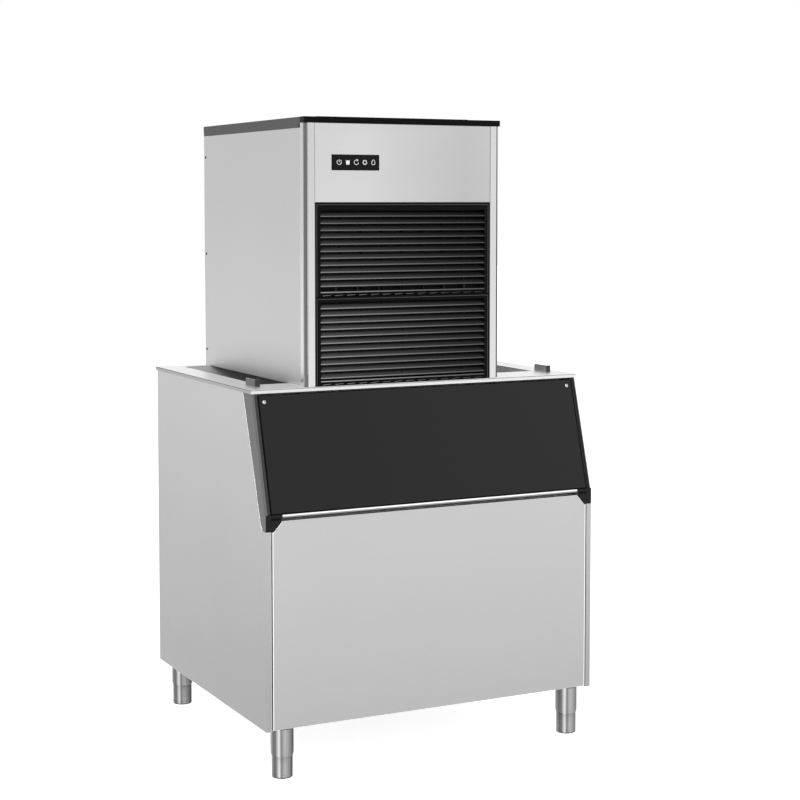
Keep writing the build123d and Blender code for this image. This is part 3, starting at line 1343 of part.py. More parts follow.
pipe_top_z = condenser_z1 + 2 * pipe_bend
condenser_mid_y = (condenser_y + condenser_back_y) / 2
liquid_x = condenser_x0 + pipe_bend
drier_z0 = condenser_z1 + pipe_bend
drier_z1 = drier_z0 + drier_length
liquid_top_z = drier_z1 + 2 * pipe_bend
jacket_left_x = evaporator_x - jacket_radius
liquid_drop_x = jacket_left_x - 1.6 * pipe_bend
suction_z = gearbox_z1 + barrel_height * 0.8
suction_y = compressor_y - compressor_radius * 0.4
with BuildPart() as copper_pipes:
    add(pipe_run([(compressor_x, compressor_y, compressor_top_z), (compressor_x, compressor_y, pipe_top_z),
                  (compressor_x, condenser_mid_y, pipe_top_z),
                  (compressor_x, condenser_mid_y, condenser_z1)], pipe_radius, pipe_bend))
    add(pipe_run([(evaporator_x, evaporator_y + jacket_radius, suction_z),
                  (evaporator_x, suction_y, suction_z),
                  (compressor_x, suction_y, suction_z), (compressor_x, suction_y, compressor_top_z)],
                 suction_pipe_radius, pipe_bend))
    add(pipe_run([(liquid_x, condenser_mid_y, drier_z1), (liquid_x, condenser_mid_y, liquid_top_z),
                  (liquid_x, evaporator_y, liquid_top_z), (liquid_drop_x, evaporator_y, liquid_top_z),
                  (liquid_drop_x, evaporator_y, suction_z), (jacket_left_x, evaporator_y, suction_z)],
                 pipe_radius, pipe_bend))
    with Locations((liquid_x, condenser_mid_y, (condenser_z1 + drier_z0) / 2)):
        Cylinder(pipe_radius, drier_z0 - condenser_z1)
copper_pipes.part.label = "copper_pipes"
export_step(copper_pipes.part, "parts/copper_pipes.step")

# Filter drier in the liquid line
with BuildPart() as filter_drier:
    with Locations((liquid_x, condenser_mid_y, (drier_z0 + drier_z1) / 2)):
        Cylinder(drier_radius, drier_length)
    chamfer(filter_drier.edges().filter_by(GeomType.CIRCLE), length=drier_radius * 0.5)
filter_drier.part.label = "filter_drier"
export_step(filter_drier.part, "parts/filter_drier.step")

# Water tube from the reservoir to the foot of the evaporator
tube_low_z = gearbox_z1 + drive_motor_length + 2 * suction_pipe_radius
water_tube = pipe_run([(evaporator_x, spigot_y, reservoir_z0 - spigot_length),
                       (evaporator_x, spigot_y, tube_low_z),
                       (evaporator_x, evaporator_y + jacket_radius, tube_low_z)],
                      suction_pipe_radius, pipe_bend)
water_tube.label = "water_tube"
export_step(water_tube, "parts/water_tube.step")
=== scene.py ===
"""Looks of a nugget ice machine: an air-cooled ice maker head on a wide insulated storage bin.

Metres, in the frame of the solids: +X to the right of someone who faces the machine, +Y to its back, +Z up.
New pieces are surfaces worked out as whole arrays: profiles carried along an axis, turned profiles and
ribbons.
"""
import json
import math

import bmesh
import bpy
import numpy as np
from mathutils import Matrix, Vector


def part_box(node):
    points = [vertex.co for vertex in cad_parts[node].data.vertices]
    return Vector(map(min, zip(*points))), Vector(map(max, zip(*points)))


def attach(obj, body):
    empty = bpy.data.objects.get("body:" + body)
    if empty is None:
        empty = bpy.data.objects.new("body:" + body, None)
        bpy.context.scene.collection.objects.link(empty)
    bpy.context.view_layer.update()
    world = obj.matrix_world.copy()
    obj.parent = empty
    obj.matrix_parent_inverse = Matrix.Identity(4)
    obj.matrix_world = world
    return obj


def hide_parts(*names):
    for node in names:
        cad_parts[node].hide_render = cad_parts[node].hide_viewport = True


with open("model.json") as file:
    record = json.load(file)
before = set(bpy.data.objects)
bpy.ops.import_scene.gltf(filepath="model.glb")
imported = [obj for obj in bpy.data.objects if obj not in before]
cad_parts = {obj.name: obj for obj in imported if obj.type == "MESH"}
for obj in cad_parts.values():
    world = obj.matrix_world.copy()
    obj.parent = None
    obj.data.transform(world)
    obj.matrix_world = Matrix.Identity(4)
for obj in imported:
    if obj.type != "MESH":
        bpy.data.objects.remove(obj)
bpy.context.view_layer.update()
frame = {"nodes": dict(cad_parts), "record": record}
NODES = frame["nodes"]
MM = 0.001
BODY_OF = {node: body for body, members in frame["record"]["behaviour"]["bodies"].items() for node in members}
SLOT_OF = {entry["node"]: entry["material_slot"] for entry in frame["record"]["subparts"]}
SMOOTH_ANGLE = math.radians(35)
BEVEL_ANGLE = math.radians(30)
BEVEL_SEGMENTS = 3
FLAT_ANGLE = math.radians(0.5)
LINE_EDGE = 0.05 * MM


# Arrays to meshes

def joined(*shapes):
    """Puts several (points, faces) shapes into one, by shifting each one's face numbers past the last."""
    points, faces, start = [], [], 0
    for shape_points, shape_faces in shapes:
        points.append(np.asarray(shape_points, float).reshape(-1, 3))
        faces += [tuple(int(i) + start for i in face) for face in shape_faces]
        start += len(points[-1])
    return np.concatenate(points), faces


def grid_faces(rows, columns, wrap_rows=False, wrap_columns=False):
    """The four-sided faces of a grid of points, numbered row by row, closed along either way if asked."""
    i = np.arange(rows if wrap_rows else rows - 1)[:, None]
    j = np.arange(columns if wrap_columns else columns - 1)[None, :]
    i_next, j_next = (i + 1) % rows, (j + 1) % columns
    quads = np.stack([i * columns + j, i_next * columns + j, i_next * columns + j_next,
                      i * columns + j_next], -1)
    return [tuple(quad) for quad in quads.reshape(-1, 4)]


def swept(profile, start, end, axis=0):
    """A closed profile of (a, b) points carried straight from start to end along one axis, with caps."""
    profile = np.asarray(profile, float)
    others = [k for k in range(3) if k != axis]
    rings = np.zeros((2, len(profile), 3))
    rings[:, :, others] = profile
    rings[0, :, axis], rings[1, :, axis] = start, end
    count = len(profile)
    faces = grid_faces(2, count, wrap_columns=True)
    faces += [tuple(range(count)), tuple(range(2 * count - 1, count - 1, -1))]
    return rings.reshape(-1, 3), faces


def turned(profile, centre, axis=2, steps=64):
    """A profile of (radius, height) points turned about an axis: x = r cos t, y = r sin t, z = h."""
    profile = np.asarray(profile, float)
    turn = np.linspace(0, 2 * np.pi, steps, endpoint=False)
    local = np.stack([
        profile[:, None, 0] * np.cos(turn), profile[:, None, 0] * np.sin(turn),
        np.repeat(profile[:, 1:2], steps, 1)], -1)
    order = {0: [2, 0, 1], 1: [1, 2, 0], 2: [0, 1, 2]}[axis]
    points = local[..., order] + np.asarray(centre, float)
    faces = grid_faces(len(profile), steps, wrap_columns=True)
    return points.reshape(-1, 3), faces


def chamfered_box(low, high, edge):
    """A box with every edge cut at 45 degrees: each corner becomes three points, moved in along two axes."""
    low, high = np.minimum(low, high).astype(float), np.maximum(low, high).astype(float)
    edge = min(edge, 0.45 * (high - low).min())
    signs = np.array([(x, y, z) for x in (0, 1) for y in (0, 1) for z in (0, 1)])
    corners = low + signs * (high - low)
    inward = np.where(signs == 0, edge, -edge)
    points = np.stack([corners + inward * (1 - np.eye(3)[k]) for k in range(3)], 1).reshape(-1, 3)
    mesh = bmesh.new()
    made = [mesh.verts.new(point) for point in points]
    bmesh.ops.convex_hull(mesh, input=made)
    bmesh.ops.dissolve_limit(mesh, angle_limit=0.02, verts=mesh.verts, edges=mesh.edges)
    mesh.verts.index_update()
    result = [tuple(v.co) for v in mesh.verts], [tuple(v.index for v in face.verts) for face in mesh.faces]
    mesh.free()
    return result


def plain_box(low, high):
    """A box with sharp edges."""
    low, high = np.asarray(low, float), np.asarray(high, float)
    corners = np.array([(x, y, z) for x in (0, 1) for y in (0, 1) for z in (0, 1)], float)
    faces = [(0, 1, 3, 2), (4, 6, 7, 5), (0, 4, 5, 1), (2, 3, 7, 6), (0, 2, 6, 4), (1, 5, 7, 3)]
    return low + corners * (high - low), faces


def cut_boxes(pairs, edge=LINE_EDGE):
    """Boxes between pairs of opposite corners, with their edges cut."""
    return joined(*[chamfered_box(a, b, edge) for a, b in pairs])


def ribbon(path, width, plane_y, lift, closed=False):
    """A raised stroke along (x, z) points, each moved half the width along the path's normal, both ways."""
    path = np.asarray(path, float)
    if closed:
        ahead = np.roll(path, -1, 0) - np.roll(path, 1, 0)
    else:
        ahead = np.gradient(path, axis=0)
    ahead /= np.linalg.norm(ahead, axis=1)[:, None]
    normal = np.stack([-ahead[:, 1], ahead[:, 0]], 1)
    left, right = path + normal * width / 2, path - normal * width / 2
    ring = np.zeros((len(path), 4, 3))
    corners = ((left, plane_y), (left, plane_y - lift), (right, plane_y - lift), (right, plane_y))
    for k, (side, y) in enumerate(corners):
        ring[:, k, 0], ring[:, k, 1], ring[:, k, 2] = side[:, 0], y, side[:, 1]
    faces = grid_faces(len(path), 4, wrap_rows=closed, wrap_columns=True)
    if not closed:
        last = 4 * (len(path) - 1)
        faces += [(3, 2, 1, 0), (last, last + 1, last + 2, last + 3)]
    return ring.reshape(-1, 3), faces


def arc(centre, radius, start, end, steps=24):
    """Points on a circle in a plane, between two angles in degrees."""
    turn = np.radians(np.linspace(start, end, steps))
    return np.stack([centre[0] + radius * np.cos(turn), centre[1] + radius * np.sin(turn)], 1)


def piece(name, shape, material, body, stands_for=(), painted=()):
    """Makes an object of a shape, with faces outwards, and lets it ride on its body."""
    mesh = bpy.data.meshes.new(name)
    mesh.from_pydata([tuple(point) for point in shape[0]], [], shape[1])
    work = bmesh.new()
    work.from_mesh(mesh)
    bmesh.ops.recalc_face_normals(work, faces=work.faces)
    work.to_mesh(mesh)
    work.free()
    return finished(name, mesh, material, body, stands_for, painted)


def finished(name, mesh, material, body, stands_for, painted, bevel=0.0):
    """Puts a mesh into the scene with its materials, body and the nodes that it stands for. Each entry of
    painted is (material, rule): the rule takes a face's normal and middle and says if it gets that one."""
    mesh.shade_smooth()
    mesh.set_sharp_from_angle(angle=SMOOTH_ANGLE)
    made = bpy.data.objects.new(name, mesh)
    bpy.context.scene.collection.objects.link(made)
    made.data.materials.append(material)
    for index, (other, rule) in enumerate(painted, 1):
        made.data.materials.append(other)
        for face in mesh.polygons:
            if rule(face.normal, face.center):
                face.material_index = index
    if bevel:
        round_edges = made.modifiers.new("rounded_edges", "BEVEL")
        round_edges.width = bevel
        round_edges.segments = BEVEL_SEGMENTS
        round_edges.limit_method = "ANGLE"
        round_edges.angle_limit = BEVEL_ANGLE
        round_edges.harden_normals = True
        round_edges.use_clamp_overlap = True
    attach(made, body)
    if stands_for:
        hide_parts(*stands_for)
    return made


def softened(node, material, bevel, painted):
    """A copy of a node's mesh with its loose triangles merged and its edges rounded."""
    mesh = NODES[node].data.copy()
    work = bmesh.new()
    work.from_mesh(mesh)
    bmesh.ops.remove_doubles(work, verts=work.verts, dist=1e-6)
    bmesh.ops.dissolve_limit(work, angle_limit=FLAT_ANGLE, verts=work.verts, edges=work.edges)
    bmesh.ops.recalc_face_normals(work, faces=work.faces)
    work.to_mesh(mesh)
    work.free()
    mesh.materials.clear()
    return finished(node + "_formed", mesh, material, BODY_OF[node], (node,), painted, bevel)


# Shader node groups that several finishes share

def new_group(name, inputs, outputs):
    """An empty shader node group with named sockets: each one is (name, kind, value)."""
    group = bpy.data.node_groups.new(name, "ShaderNodeTree")
    for label, kind, value in inputs:
        socket = group.interface.new_socket(label, in_out="INPUT", socket_type=kind)
        if value is not None:
            socket.default_value = value
    for label, kind in outputs:
        group.interface.new_socket(label, in_out="OUTPUT", socket_type=kind)
    return group, group.nodes.new("NodeGroupInput"), group.nodes.new("NodeGroupOutput")


def placed(tree, kind, values=(), **settings):
    """Adds a node to a tree, with settings as its properties. Each of values goes to an input: another node's
    output is linked to it, and anything else becomes its default."""
    node = tree.nodes.new(kind)
    for key, value in settings.items():
        setattr(node, key, value)
    for key, value in dict(values).items():
        if isinstance(value, bpy.types.NodeSocket):
            tree.links.new(value, node.inputs[key])
        else:
            node.inputs[key].default_value = value
    return node


def object_place(tree, output="Object"):
    """The piece's own coordinates, or the way that its surface faces."""
    return placed(tree, "ShaderNodeTexCoord").outputs[output]


def brushed_group():
    """Fine parallel lines: noise that is stretched far along two axes and dense along the third."""
    group, entry, leave = new_group(
        "brushed_lines",
        [("Scale", "NodeSocketVector", (3, 3, 900)), ("Rough", "NodeSocketFloat", 0.3),
         ("Spread", "NodeSocketFloat", 0.1)],
        [("Lines", "NodeSocketFloat"), ("Roughness", "NodeSocketFloat")])
    place = object_place(group)
    mapping = placed(group, "ShaderNodeMapping", {"Vector": place, "Scale": entry.outputs["Scale"]})
    lines = placed(group, "ShaderNodeTexNoise", {
        "Vector": mapping.outputs[0], "Scale": 1.0, "Detail": 4.0, "Roughness": 0.6})
    cloud = placed(group, "ShaderNodeTexNoise", {"Vector": place, "Scale": 2.3, "Detail": 3.0})
    both = placed(group, "ShaderNodeMath", {0: lines.outputs[0], 1: cloud.outputs[0]}, operation="ADD")
    centred = placed(group, "ShaderNodeMath", {0: both.outputs[0], 1: 1.0}, operation="SUBTRACT")
    spread = placed(group, "ShaderNodeMath", {
        0: centred.outputs[0], 1: entry.outputs["Spread"], 2: entry.outputs["Rough"]},
        operation="MULTIPLY_ADD")
    group.links.new(lines.outputs[0], leave.inputs["Lines"])
    group.links.new(spread.outputs[0], leave.inputs["Roughness"])
    return group


def tone_group():
    """A colour that drifts a little in brightness with a broad noise and a fine one."""
    group, entry, leave = new_group(
        "tone_drift",
        [("Color", "NodeSocketColor", (0.5, 0.5, 0.5, 1)), ("Broad", "NodeSocketFloat", 0.04),
         ("Fine", "NodeSocketFloat", 0.03), ("Fine Scale", "NodeSocketFloat", 300.0)],
        [("Color", "NodeSocketColor")])
    place = object_place(group)
    total = 1.0
    for scale, amount in ((1.7, "Broad"), (entry.outputs["Fine Scale"], "Fine")):
        noise = placed(group, "ShaderNodeTexNoise", {"Vector": place, "Scale": scale, "Detail": 3.0})
        centred = placed(group, "ShaderNodeMath", {0: noise.outputs[0], 1: 0.5}, operation="SUBTRACT")
        total = placed(group, "ShaderNodeMath", {
            0: centred.outputs[0], 1: entry.outputs[amount], 2: total}, operation="MULTIPLY_ADD").outputs[0]
    tinted = placed(group, "ShaderNodeVectorMath", {0: entry.outputs["Color"], "Scale": total},
                    operation="SCALE")
    group.links.new(tinted.outputs[0], leave.inputs["Color"])
    return group


def grain_group():
    """Moulded grain: small cells of Voronoi distance over fine noise, as a height."""
    group, entry, leave = new_group(
        "moulded_grain", [("Scale", "NodeSocketFloat", 900.0)], [("Height", "NodeSocketFloat")])
    at = {"Vector": object_place(group), "Scale": entry.outputs["Scale"]}
    cells = placed(group, "ShaderNodeTexVoronoi", at, feature="SMOOTH_F1")
    noise = placed(group, "ShaderNodeTexNoise", {**at, "Detail": 2.0})
    blend = placed(group, "ShaderNodeMath", {
        0: cells.outputs["Distance"], 1: 0.6, 2: noise.outputs[0]}, operation="MULTIPLY_ADD")
    group.links.new(blend.outputs[0], leave.inputs["Height"])
    return group


BRUSHED = brushed_group()
TONE = tone_group()
GRAIN = grain_group()


# Finishes

def base_finish(name, colour, metallic, roughness, broad=0.05, fine=0.03, fine_scale=300.0, **constants):
    """A Principled finish whose colour drifts slightly, with its constants on the shader's own sockets. A
    single number as its colour is a grey."""
    material = bpy.data.materials.new(name)
    material.use_nodes = True
    tree = material.node_tree
    shader = tree.nodes["Principled BSDF"]
    shader.inputs["Metallic"].default_value = metallic
    shader.inputs["Roughness"].default_value = roughness
    for key, value in constants.items():
        shader.inputs[key.replace("_", " ")].default_value = value
    rgb = colour if isinstance(colour, tuple) else (colour, colour, colour)
    tone = placed(tree, "ShaderNodeGroup", {
        "Color": (*rgb, 1), "Broad": broad, "Fine": fine, "Fine Scale": fine_scale}, node_tree=TONE)
    tree.links.new(tone.outputs["Color"], shader.inputs["Base Color"])
    return material, tree, shader, tone


def bump(tree, shader, height, distance, strength):
    """Feeds a height into the shader's normal."""
    node = placed(tree, "ShaderNodeBump", {"Height": height, "Strength": strength, "Distance": distance})
    tree.links.new(node.outputs["Normal"], shader.inputs["Normal"])


def brush_lines(tree, shader, scale, rough, spread):
    """Lets the brushed lines drive the shader's roughness, and gives their height."""
    brush = placed(tree, "ShaderNodeGroup", {"Scale": scale, "Rough": rough, "Spread": spread},
                   node_tree=BRUSHED)
    tree.links.new(brush.outputs["Roughness"], shader.inputs["Roughness"])
    return brush.outputs["Lines"]


def painted_light_gradient(tree, colour, fade):
    """A colour multiplied by a value that runs evenly from first to last between two places on one axis: a
    painted gradient of light and shade.
    """
    axis, start, end, first, last = fade
    split = placed(tree, "ShaderNodeSeparateXYZ", {0: object_place(tree)})
    share = placed(tree, "ShaderNodeMapRange", {
        "Value": split.outputs[axis], "From Min": start, "From Max": end, "To Min": first, "To Max": last})
    return placed(tree, "ShaderNodeVectorMath", {0: colour, "Scale": share.outputs[0]},
                  operation="SCALE").outputs[0]


def brushed_steel(name, colour, rough, lines, metallic=0.85, spread=0.1, depth=0.00002, fade=None):
    """Satin sheet steel with fine lines along one direction. A fade is (axis, start, end, first, last): the
    tone is multiplied by first up to the start and by last from the end on, as painted light and shade."""
    material, tree, shader, tone = base_finish(name, colour, metallic, rough, broad=0.07, fine_scale=90.0)
    if fade:
        tree.links.new(painted_light_gradient(tree, tone.outputs["Color"], fade), shader.inputs["Base Color"])
    bump(tree, shader, brush_lines(tree, shader, lines, rough, spread), depth, 0.35)
    return material


def moulding(name, colour, rough, grain=900.0, depth=0.00003, **constants):
    """Moulded plastic with a fine grain."""
    material, tree, shader, tone = base_finish(name, colour, 0.0, rough, **constants)
    cells = placed(tree, "ShaderNodeGroup", {"Scale": grain}, node_tree=GRAIN)
    bump(tree, shader, cells.outputs["Height"], depth, 0.5)
    return material


def ramp_between(tree, value, stops):
    """A colour ramp with the given (place, grey) stops, fed by a value."""
    ramp = placed(tree, "ShaderNodeValToRGB", {0: value})
    marks = ramp.color_ramp.elements
    for index, (place, grey) in enumerate(stops):
        mark = marks[index] if index < 2 else marks.new(place)
        mark.position = place
        mark.color = (grey, grey, grey, 1)
    return ramp.outputs["Color"]


def painted_reflection_bands(name, stops, rough):
    """Polished steel with painted reflections: light and dark bands painted into its colour by the way the
    surface faces, which stay fixed on the piece. The place in the ramp is (n . r + 1) / 2, where n is the way
    the surface faces and r is one level line of the room."""
    material, tree, shader, tone = base_finish(name, 1, 1.0, rough, broad=0.03, fine=0.0)
    aside = placed(tree, "ShaderNodeVectorMath", {
        0: object_place(tree, "Normal"), 1: (0.5 * BAND_LINE[0], 0.5 * BAND_LINE[1], 0)},
        operation="DOT_PRODUCT")
    share = placed(tree, "ShaderNodeMath", {0: aside.outputs["Value"], 1: 0.5}, operation="ADD")
    tree.links.new(ramp_between(tree, share.outputs[0], stops), tone.inputs["Color"])
    brush_lines(tree, shader, BAND_BRUSH, rough, 0.06)
    return material


def painted_lip_highlight_and_shade(name, front, stops, rough, fades, **constants):
    """Moulded plastic with a painted highlight at the front that turns to painted shade with depth: the ramp
    runs over 16 mm behind a plane at the given Y. Each fade then multiplies the tone along one axis, as
    painted light and shade."""
    material, tree, shader, tone = base_finish(name, 1, 0.0, rough, broad=0.35, fine=0.1, fine_scale=60.0,
                                               **constants)
    split = placed(tree, "ShaderNodeSeparateXYZ", {0: object_place(tree)})
    depth = placed(tree, "ShaderNodeMapRange", {
        "Value": split.outputs["Y"], "From Min": front, "From Max": front + PAINTED_SHADE_DEPTH})
    tree.links.new(ramp_between(tree, depth.outputs[0], stops), tone.inputs["Color"])
    colour = tone.outputs["Color"]
    for fade in fades:
        colour = painted_light_gradient(tree, colour, fade)
    tree.links.new(colour, shader.inputs["Base Color"])
    return material


BAND_LINE = (0.893, -0.451)
BAND_BRUSH = (500.0, 500.0, 2.0)
PAINTED_SHADE_DEPTH = 16 * MM
LEVEL_LINES = (2.0, 2.0, 700.0)
UPRIGHT_LINES = (700.0, 700.0, 2.0)
EVEN_LINES = (90.0, 90.0, 90.0)
DULL = {"Specular_IOR_Level": 0.14}
FAINT = {"Specular_IOR_Level": 0.05}
# The fades below are painted light and shade: the bin's front and sides darker towards the bottom, the head's
# front darker towards the right.
case_steel = brushed_steel("satin_case_steel", 0.42, 0.40, LEVEL_LINES,
                           fade=("Z", 0.15, 0.62, 0.87, 1.04))
head_steel = brushed_steel("satin_head_steel", 0.50, 0.38, LEVEL_LINES,
                           fade=("X", -0.16, 0.13, 1.08, 0.77))
side_steel = brushed_steel("satin_side_steel", 0.40, 0.42, UPRIGHT_LINES,
                           fade=("Z", 0.2, 1.0, 0.77, 1.18))
head_side_steel = brushed_steel("satin_head_side_steel", 0.50, 0.42, UPRIGHT_LINES)
# A brighter steel for the folds of the sheet: a painted highlight.
fold_painted_highlight = brushed_steel("fold_steel_painted_highlight", 0.88, 0.3, UPRIGHT_LINES)
back_steel = brushed_steel("galvanised_sheet", (0.36, 0.365, 0.37), 0.45, UPRIGHT_LINES, metallic=0.7)
# The rim is one steel in three tones by the way its faces look: the top brighter as a painted highlight, the
# sides darker as painted shade.
rim_top_painted_light = brushed_steel("rim_top_steel_painted_light", 0.86, 0.35, LEVEL_LINES)
rim_lip_finish = brushed_steel("rim_lip_steel", 0.62, 0.4, LEVEL_LINES)
rim_side_painted_shade = brushed_steel("rim_side_steel_painted_shade", 0.33, 0.4, LEVEL_LINES)
tub_plastic = moulding("pale_tub_moulding", 0.66, 0.42, grain=500.0)
throat_plastic = moulding("pale_throat_moulding", 0.62, 0.5, grain=700.0)
# A grey strip painted as the shadow in seams.
seam_shadow = moulding("grey_seam_painted_shadow", 0.15, 0.6, **FAINT)
# A black strip painted as the shadow in gaps and slots.
gap_shadow = moulding("black_gap_painted_shadow", 0.003, 0.6, grain=500.0, **FAINT)
door_plastic = moulding("dark_door_moulding", (0.0135, 0.0135, 0.0138), 0.5, grain=1100.0, depth=0.00005,
                        **DULL)
frame_plastic = moulding("door_frame_moulding", (0.040, 0.040, 0.041), 0.5, grain=1100.0, **DULL)
frame_side_plastic = moulding("frame_side_moulding", (0.108, 0.108, 0.11), 0.5, grain=1100.0)
bracket_plastic = moulding("bracket_moulding", 0.007, 0.5, grain=1100.0, **DULL)
grille_plastic = moulding("black_grille_moulding", 0.003, 0.4, grain=1200.0, **FAINT)
lid_plastic = moulding("black_lid_moulding", 0.003, 0.35, grain=1200.0, **FAINT)
lid_side_plastic = moulding("lid_side_moulding", (0.082, 0.082, 0.084), 0.5, grain=700.0, fine=0.1,
                            fine_scale=140.0, **DULL)
touch_plate = moulding("gloss_touch_plate", 0.003, 0.15, grain=300.0, depth=0.00001, **DULL)
icon_paint = moulding("white_icon_paint", 0.80, 0.5, grain=1500.0, depth=0.00001)
rubber = moulding("soft_black_rubber", 0.01, 0.7, grain=700.0, depth=0.0001, **DULL)
# The foam's colour is darker than bare foam: partly its own tone, partly painted shade where it shows through
# the gaps.
foam = moulding("foam_darkened_painted_shade", (0.30, 0.28, 0.23), 0.9, grain=260.0, depth=0.0006, broad=0.15, fine=0.12)
black_enamel = moulding("black_enamel", (0.012, 0.012, 0.013), 0.3, grain=250.0, depth=0.00006,
                        Coat_Weight=0.3)
board_green = moulding("circuit_board", (0.01, 0.09, 0.035), 0.4, grain=600.0)
clear_tube = moulding("milky_tube", (0.75, 0.77, 0.78), 0.3, grain=300.0, Transmission_Weight=0.35)
fin_metal = brushed_steel("bare_fin_metal", (0.30, 0.31, 0.32), 0.4, (900.0, 40.0, 3.0), metallic=0.9)
copper = brushed_steel("drawn_copper", (0.50, 0.22, 0.12), 0.32, (60.0, 60.0, 60.0), metallic=1.0, spread=0.2)
brass = brushed_steel("machined_brass", (0.62, 0.45, 0.18), 0.28, (500.0, 500.0, 3.0), metallic=1.0)
bright_steel = brushed_steel("polished_steel", 0.66, 0.22, UPRIGHT_LINES, metallic=1.0, depth=0.000005)
# The handle strip's lower part is painted shade: below a line 45 percent of the way up the strip, its tone
# drops from 0.92 to 0.26.
strip_low, strip_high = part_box("door_handle_strip")
STRIP_SHADE_SHARE = 0.45
strip_shade_line = strip_low.z + STRIP_SHADE_SHARE * (strip_high.z - strip_low.z)
strip_steel = brushed_steel("handle_strip_steel", 0.88, 0.25, LEVEL_LINES, metallic=1.0,
                            depth=0.000005, fade=("Z", strip_shade_line, strip_shade_line + 0.4 * MM, 0.26, 0.92))
screw_steel = brushed_steel("dull_screw_steel", 0.05, 0.35, EVEN_LINES, metallic=1.0)
door_screw_steel = brushed_steel("door_screw_steel", 0.62, 0.3, EVEN_LINES, metallic=1.0)
head_front_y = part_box("head_front_panel")[0].y
# The slats' lips take a painted highlight and their deeper parts painted shade. The slats also get darker
# towards the top and the right, as painted light.
slat_painted_light = painted_lip_highlight_and_shade("slat_moulding_painted_light", head_front_y, [
    (0.0, 0.22), (0.06, 0.22), (0.14, 0.07), (0.45, 0.055), (0.75, 0.03), (1.0, 0.008)], 0.45,
    (("Z", 1.12, 1.42, 1.0, 0.42), ("X", -0.27, 0.16, 1.35, 0.45)), **DULL)
# The posts' and legs' light and dark bands are painted reflections of the room, set in their colour ramps.
post_painted_reflections = painted_reflection_bands("post_steel_painted_reflections", [
    (0.0, 0.54), (0.056, 0.56), (0.066, 0.92), (0.13, 0.92), (0.16, 0.13), (0.62, 0.15), (0.68, 0.52),
    (0.725, 0.60), (0.74, 0.57), (0.80, 0.04), (1.0, 0.04)], 0.2)
leg_painted_reflections = painted_reflection_bands("leg_steel_painted_reflections", [
    (0.0, 0.24), (0.08, 0.22), (0.13, 0.11), (0.25, 0.13), (0.31, 0.30), (0.38, 0.52), (0.43, 0.50),
    (0.47, 0.20), (0.52, 0.16), (0.58, 0.27), (0.68, 0.32), (0.80, 0.23), (0.90, 0.15), (0.95, 0.03),
    (1.0, 0.05)], 0.26)
MATERIAL_OF_SLOT = {
    "case_steel": case_steel, "bright_steel": bright_steel, "door_plastic": door_plastic,
    "black_plastic": frame_plastic, "control_glass": touch_plate, "rim_white": tub_plastic, "foam": foam,
    "rubber": rubber, "galvanised": back_steel, "black_paint": black_enamel, "copper": copper,
    "fins": fin_metal, "board_green": board_green, "clear_tube": clear_tube, "brass": brass,
}
for node_name, node_object in NODES.items():
    node_object.data.materials.clear()
    node_object.data.materials.append(MATERIAL_OF_SLOT[SLOT_OF[node_name]])


# Case, rim and door: the solids' own forms with the small rounds of folded sheet and mouldings

def looks(axis, sign=0):
    """A rule that is true where a face looks along an axis, one way with a sign and both ways without."""
    def rule(normal, middle):
        return (sign * normal[axis] if sign else abs(normal[axis])) > FACING
    return rule


def on_bracket(normal, middle):
    """True on the front of the bracket that ends each door frame."""
    return middle.z < bracket_top and abs(normal.x) < FACING


def left_of_middle(normal, middle):
    """True on the outer side of the left guide tab."""
    return middle.x < 0 and abs(normal.x) > FACING


FACING = 0.7
bracket_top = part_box("door_shell")[0].z + 2 * MM
faces_aside, faces_up, faces_forward = looks(0), looks(2, 1), looks(1, -1)
# Each node's finish, the width of its rounded edges in mm and the finishes of some of its faces
SOFT_EDGES = {
    "bin_left_panel": (side_steel, 0.8), "bin_right_panel": (side_steel, 0.8),
    "bin_front_panel": (case_steel, 2.0), "bin_liner": (tub_plastic, 0.6),
    # The rim's brighter top and darker sides are painted light and shade.
    "bin_rim": (rim_lip_finish, 0.8, (rim_top_painted_light, faces_up), (rim_side_painted_shade, faces_aside)),
    "head_left_panel": (head_side_steel, 0.6), "head_right_panel": (head_side_steel, 0.6),
    "head_front_panel": (head_steel, 0.6), "door_throat": (throat_plastic, 1.0),
    "head_lid": (lid_plastic, 0.9, (lid_side_plastic, faces_aside)),
    "left_corner_post": (post_painted_reflections, 0.5), "right_corner_post": (post_painted_reflections, 0.5),
    "left_door_frame": (frame_plastic, 1.2, (frame_side_plastic, faces_aside), (bracket_plastic, on_bracket)),
    "right_door_frame": (bracket_plastic, 1.2, (frame_side_plastic, faces_aside)),
    "door_shell": (door_plastic, 1.6), "door_handle_strip": (strip_steel, 0.5),
    "rim_tabs": (case_steel, 0.6, (frame_side_plastic, left_of_middle), (frame_plastic, faces_forward)),
    "control_panel": (touch_plate, 0.25),
}
# These folded sheets take the brighter fold steel on their rounded edges: a painted highlight along each fold.
FOLDED_SHEET = ("bin_front_panel", "head_front_panel", "bin_left_panel", "head_left_panel",
                "head_right_panel")
for node_name, (finish, edge_mm, *painted) in SOFT_EDGES.items():
    made = softened(node_name, finish, edge_mm * MM, painted)
    if node_name in FOLDED_SHEET:
        made.data.materials.append(fold_painted_highlight)
        made.modifiers["rounded_edges"].material = len(made.data.materials) - 1

